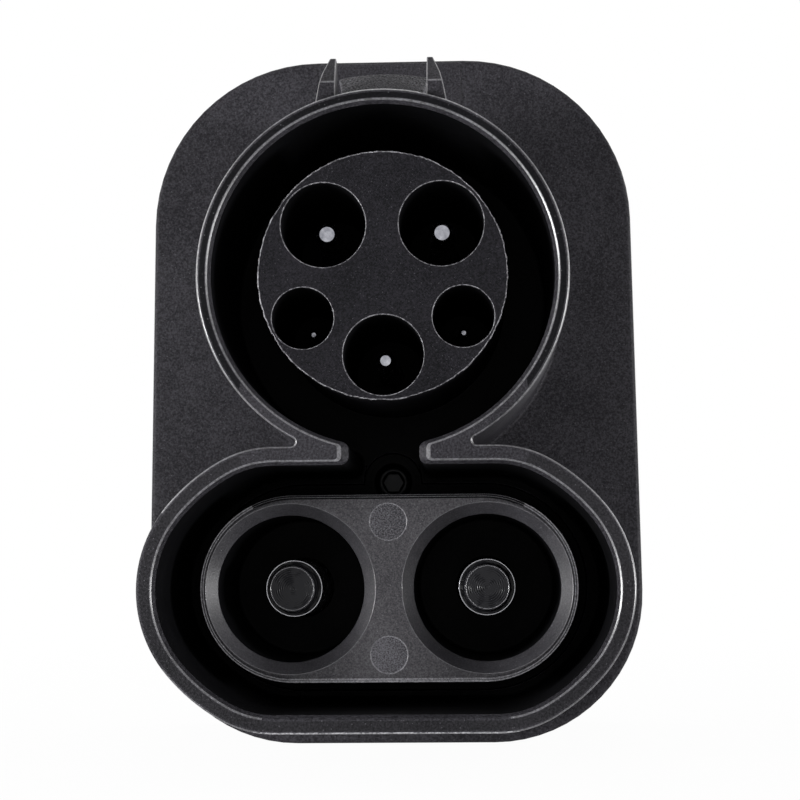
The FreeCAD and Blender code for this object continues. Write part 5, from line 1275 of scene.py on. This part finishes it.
class ScrewSettings(bpy.types.PropertyGroup):
    head: bpy.props.FloatProperty(
        name="Screw head", description="Radius of a housing screw's head",
        default=2.8 * MM, min=2.0 * MM, max=3.0 * MM, unit="LENGTH", precision=5)
    recess: bpy.props.FloatProperty(
        name="Screw recess", description="Corner radius of the hexagon recess",
        default=1.35 * MM, min=0.8 * MM, max=1.8 * MM, unit="LENGTH", precision=5)
    leaves: bpy.props.IntProperty(
        name="Contact leaves", description="Number of sprung leaves in each contact band",
        default=14, min=8, max=20)


class ADAPTER_OT_screws(bpy.types.Operator):
    """Four housing screws and the floor screw"""

    bl_idname = "adapter.screws"
    bl_label = "Screws"

    def execute(self, context):
        settings = context.scene.adapter_screws
        seats = [(across, SCREW_SEAT, height) for across, height in casing_screw_places()]
        sizes = {
            "Shank": SCREW_SHANK * MM, "Length": 16.0 * MM, "Head": settings.head, "Head height": 2.2 * MM,
            "Recess": settings.recess, "Recess depth": 1.0 * MM}
        housing_screws = grown("housing_screw_set", seats, sizes, screw_tree, MATERIALS["steel"])
        stand_for(housing_screws, "housing_screws")
        seat = FLOOR_DEPTH + LUG_SINK
        floor_screw = turned_piece("floor_screw_turned", 0, LUG_HEIGHT, [
            (0.9, seat - 1.8), (2.2, seat - 1.8, 0.5), (2.45, seat - 0.9, 0.1), (2.45, seat, 0.05),
            (1.25, seat), (1.25, 47.8), (0.87, 48.4)], ["black_steel"], "dark_screw")
        corners = arc_points(0, LUG_HEIGHT, 1.5, 0, 360, 6)[:-1]
        cut(floor_screw, block_piece(corners, seat - 2.4, seat - 0.8, 0.03, "hexagon", "black_steel"))
        stand_for(floor_screw, "floor_screw")
        return {"FINISHED"}


class ADAPTER_OT_contact_bands(bpy.types.Operator):
    """Sprung contact bands inside the plug's power sockets"""

    bl_idname = "adapter.contact_bands"
    bl_label = "Contact bands"

    def execute(self, context):
        seats = [(across, 123.4, height) for across, height, _lip, hole in PLUG_CONTACTS if hole > POWER_TUBE]
        sizes = {
            "Length": 7.3 * MM, "Leaf width": 1.3 * MM, "Thickness": 0.16 * MM, "Bow": 0.36 * MM,
            "Radius": 4.8 * MM, "Hoop width": 0.7 * MM, "Leaves": context.scene.adapter_screws.leaves}
        piece = grown("contact_band_leaves", seats, sizes, leaf_tree, MATERIALS["silver"])
        stand_for(piece, "contact_bands")
        return {"FINISHED"}


class ADAPTER_OT_finishes(bpy.types.Operator):
    """Finishes for the CAD nodes that keep their shape"""

    bl_idname = "adapter.finishes"
    bl_label = "Finishes"

    def execute(self, context):
        finishes = {
            "insulator": ["pin_retainer"],
            "silver": ["power_socket_left", "power_socket_right", "earth_socket", "pilot_socket",
                       "proximity_socket"],
            "copper": ["dc_busbar_left", "dc_busbar_right"],
            "steel": ["retainer_screws", "nose_screws", "busbar_screws", "board_screws"],
            "seal": ["housing_gasket", "nose_seal", "dc_pin_seals"],
            "earth_wire": ["earth_lead"],
            "signal_wire": ["pilot_lead", "proximity_lead"],
            "board": ["signal_board"],
            "switch": ["thermal_switch"],
        }
        for finish, names in finishes.items():
            for name in names:
                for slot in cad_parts[name].material_slots:
                    slot.material = MATERIALS[finish]
        return {"FINISHED"}


# softboxes: place, target, width and height in metres, and power as a share of the near left one's
OBJECT_MIDDLE = (0.0, -0.05, 0.05)
LAMPS = {
    "near_left": ((-0.26, -0.24, 0.03), OBJECT_MIDDLE, (0.11, 0.09), 1.0),
    "low_right": ((0.48, -0.30, 0.025), OBJECT_MIDDLE, (0.20, 0.05), 1.85),
    "low_left": ((-0.48, -0.30, 0.025), OBJECT_MIDDLE, (0.20, 0.05), 0.5),
    "above": ((0.05, -0.20, 0.80), OBJECT_MIDDLE, (0.50, 0.50), 0.20),
    "above_behind": ((0.0, 0.45, 0.85), (0.0, 0.0, 0.06), (0.60, 0.60), 2.2),
    "behind_left": ((-0.70, 0.60, 0.35), OBJECT_MIDDLE, (0.40, 0.60), 3.0),
    "behind_right": ((0.75, 0.55, 0.30), OBJECT_MIDDLE, (0.40, 0.60), 3.0),
}
# the camera: its lens and shift in pixels of an 800 pixel frame, its place in millimetres, and its turns
# in degrees
FRAME_PIXELS = 800
SENSOR = 36.0
LENS_PIXELS = 2211.8
SHIFT_PIXELS = (34.3, 38.8)
CAMERA_PLACE = (11.1, -364.5, 25.9)
CAMERA_TURNS = {"yaw": -2.658, "pitch": 3.341, "roll": -0.483}


def lamp(name, place, target, size, power):
    """A rectangular softbox at a place, facing a target, sizes in metres and power in watts."""
    data = bpy.data.lights.new(name, "AREA")
    data.shape = "RECTANGLE"
    data.size, data.size_y = size
    data.energy = power
    light = bpy.data.objects.new(name, data)
    light.location = place
    light.rotation_euler = (Vector(target) - Vector(place)).to_track_quat("-Z", "Y").to_euler()
    bpy.context.scene.collection.objects.link(light)


def backdrop_ray(tree):
    """1 for a ray from the camera, off a glossy surface or through glass: those see plain white."""
    ray = add(tree, "ShaderNodeLightPath")
    seen = add(tree, "ShaderNodeMath", {"operation": "MAXIMUM"}, {
        0: ray.outputs["Is Camera Ray"], 1: ray.outputs["Is Glossy Ray"]})
    return add(tree, "ShaderNodeMath", {"operation": "MAXIMUM"}, {
        0: seen.outputs[0], 1: ray.outputs["Is Transmission Ray"]}).outputs[0]


def pale_paper(colour):
    """Matt white paper, which keeps the object's shadow and turns to plain white further out."""
    material, tree, output = new_material("pale_floor")
    shown = backdrop_ray(tree)
    spot = add(tree, "ShaderNodeTexCoord")
    away = add(tree, "ShaderNodeVectorMath", {"operation": "LENGTH"}, {0: spot.outputs["Object"]})
    # plain white away from the object, so no horizon shows
    plain = add(tree, "ShaderNodeMapRange", {"interpolation_type": "SMOOTHSTEP"}, {
        "Value": away.outputs["Value"], "From Min": 0.1, "From Max": 0.5, "To Min": 0.97, "To Max": 1.0})
    paper = add(tree, "ShaderNodeBsdfDiffuse", inputs={"Color": tuple(colour)})
    glow = add(tree, "ShaderNodeEmission", inputs={"Color": linear("ffffff"), "Strength": 1.0})
    lit = add(tree, "ShaderNodeMixShader", inputs={
        "Fac": plain.outputs[0], 1: paper.outputs[0], 2: glow.outputs[0]})
    mixed = add(tree, "ShaderNodeMixShader", inputs={"Fac": shown, 1: paper.outputs[0], 2: lit.outputs[0]})
    tree.links.new(mixed.outputs[0], output.inputs[0])
    return material


def studio_world():
    """White to look at, but only a weak even light on the object."""
    world = bpy.data.worlds.new("studio")
    world.use_nodes = True
    tree = world.node_tree
    tree.nodes.clear()
    soft = add(tree, "ShaderNodeBackground", inputs={"Color": linear("ffffff"), "Strength": 0.15})
    white = add(tree, "ShaderNodeBackground", inputs={"Color": linear("ffffff"), "Strength": 1.0})
    mixed = add(tree, "ShaderNodeMixShader", inputs={
        "Fac": backdrop_ray(tree), 1: soft.outputs[0], 2: white.outputs[0]})
    add(tree, "ShaderNodeOutputWorld", inputs={0: mixed.outputs[0]})
    return world


def photo_camera():
    """A camera low in front of the shroud, a little to the right, looking slightly up and left."""
    camera = bpy.data.cameras.new("camera")
    camera.sensor_width = SENSOR
    camera.lens = LENS_PIXELS * SENSOR / FRAME_PIXELS
    camera.shift_x, camera.shift_y = (pixels / FRAME_PIXELS for pixels in SHIFT_PIXELS)
    camera.clip_start = 0.01
    yaw, pitch, roll = (math.radians(angle) for angle in CAMERA_TURNS.values())
    forward = Vector((math.sin(yaw) * math.cos(pitch), math.cos(yaw) * math.cos(pitch), math.sin(pitch)))
    right = Vector((math.cos(yaw), -math.sin(yaw), 0.0))
    upward = right.cross(forward)
    turned_right = right * math.cos(roll) + upward * math.sin(roll)
    turned_up = upward * math.cos(roll) - right * math.sin(roll)
    basis = Matrix((turned_right, turned_up, -forward)).transposed()
    holder = bpy.data.objects.new("camera", camera)
    holder.matrix_world = Matrix.Translation(Vector(CAMERA_PLACE) * MM) @ basis.to_4x4()
    return holder


class ADAPTER_OT_stage(bpy.types.Operator):
    """Floor, white surroundings, soft lamps and the camera"""

    bl_idname = "adapter.stage"
    bl_label = "Studio"

    def execute(self, context):
        scene = context.scene
        settings = scene.adapter_stage
        mesh = bmesh.new()
        bmesh.ops.create_circle(mesh, cap_ends=True, radius=4.0, segments=96)
        data = bpy.data.meshes.new("studio_floor")
        mesh.to_mesh(data)
        mesh.free()
        data.materials.append(pale_paper(settings.floor_colour))
        floor = bpy.data.objects.new("studio_floor", data)
        scene.collection.objects.link(floor)
        scene.world = studio_world()
        for name, (place, target, size, share) in LAMPS.items():
            lamp(name, place, target, size, settings.key_power * share)
        scene.view_settings.view_transform = "Standard"
        holder = photo_camera()
        scene.collection.objects.link(holder)
        scene.camera = holder
        return {"FINISHED"}


class ADAPTER_PT_panel(bpy.types.Panel):
    bl_label = "Charging adapter"
    bl_idname = "ADAPTER_PT_panel"
    bl_space_type = "VIEW_3D"
    bl_region_type = "UI"
    bl_category = "Adapter"

    def draw(self, context):
        scene = context.scene
        for settings in (getattr(scene, name) for name in SETTINGS):
            for name in settings.bl_rna.properties.keys():
                if name not in ("rna_type", "name"):
                    self.layout.prop(settings, name)
        for operator in OPERATORS:
            self.layout.operator(operator.bl_idname)


SETTINGS = {
    "adapter_housing": HousingSettings,
    "adapter_insulator": InsulatorSettings,
    "adapter_rear": RearSettings,
    "adapter_screws": ScrewSettings,
    "adapter_stage": StageSettings,
}
OPERATORS = (
    ADAPTER_OT_front_housing,
    ADAPTER_OT_ac_insulator,
    ADAPTER_OT_dc_insulator,
    ADAPTER_OT_pins,
    ADAPTER_OT_rear_housing,
    ADAPTER_OT_plug_nose,
    ADAPTER_OT_screws,
    ADAPTER_OT_contact_bands,
    ADAPTER_OT_finishes,
    ADAPTER_OT_stage,
)


def register():
    for name, group in SETTINGS.items():
        bpy.utils.register_class(group)
        setattr(bpy.types.Scene, name, bpy.props.PointerProperty(type=group))
    for operator in OPERATORS:
        bpy.utils.register_class(operator)
    bpy.utils.register_class(ADAPTER_PT_panel)


def unregister():
    bpy.utils.unregister_class(ADAPTER_PT_panel)
    for operator in reversed(OPERATORS):
        bpy.utils.unregister_class(operator)
    for name, group in SETTINGS.items():
        delattr(bpy.types.Scene, name)
        bpy.utils.unregister_class(group)


def main():
    register()
    make_materials()
    bpy.ops.adapter.front_housing()
    bpy.ops.adapter.ac_insulator()
    bpy.ops.adapter.dc_insulator()
    bpy.ops.adapter.pins()
    bpy.ops.adapter.rear_housing()
    bpy.ops.adapter.plug_nose()
    bpy.ops.adapter.screws()
    bpy.ops.adapter.contact_bands()
    bpy.ops.adapter.finishes()
    bpy.ops.adapter.stage()


if __name__ == "__main__":
    main()
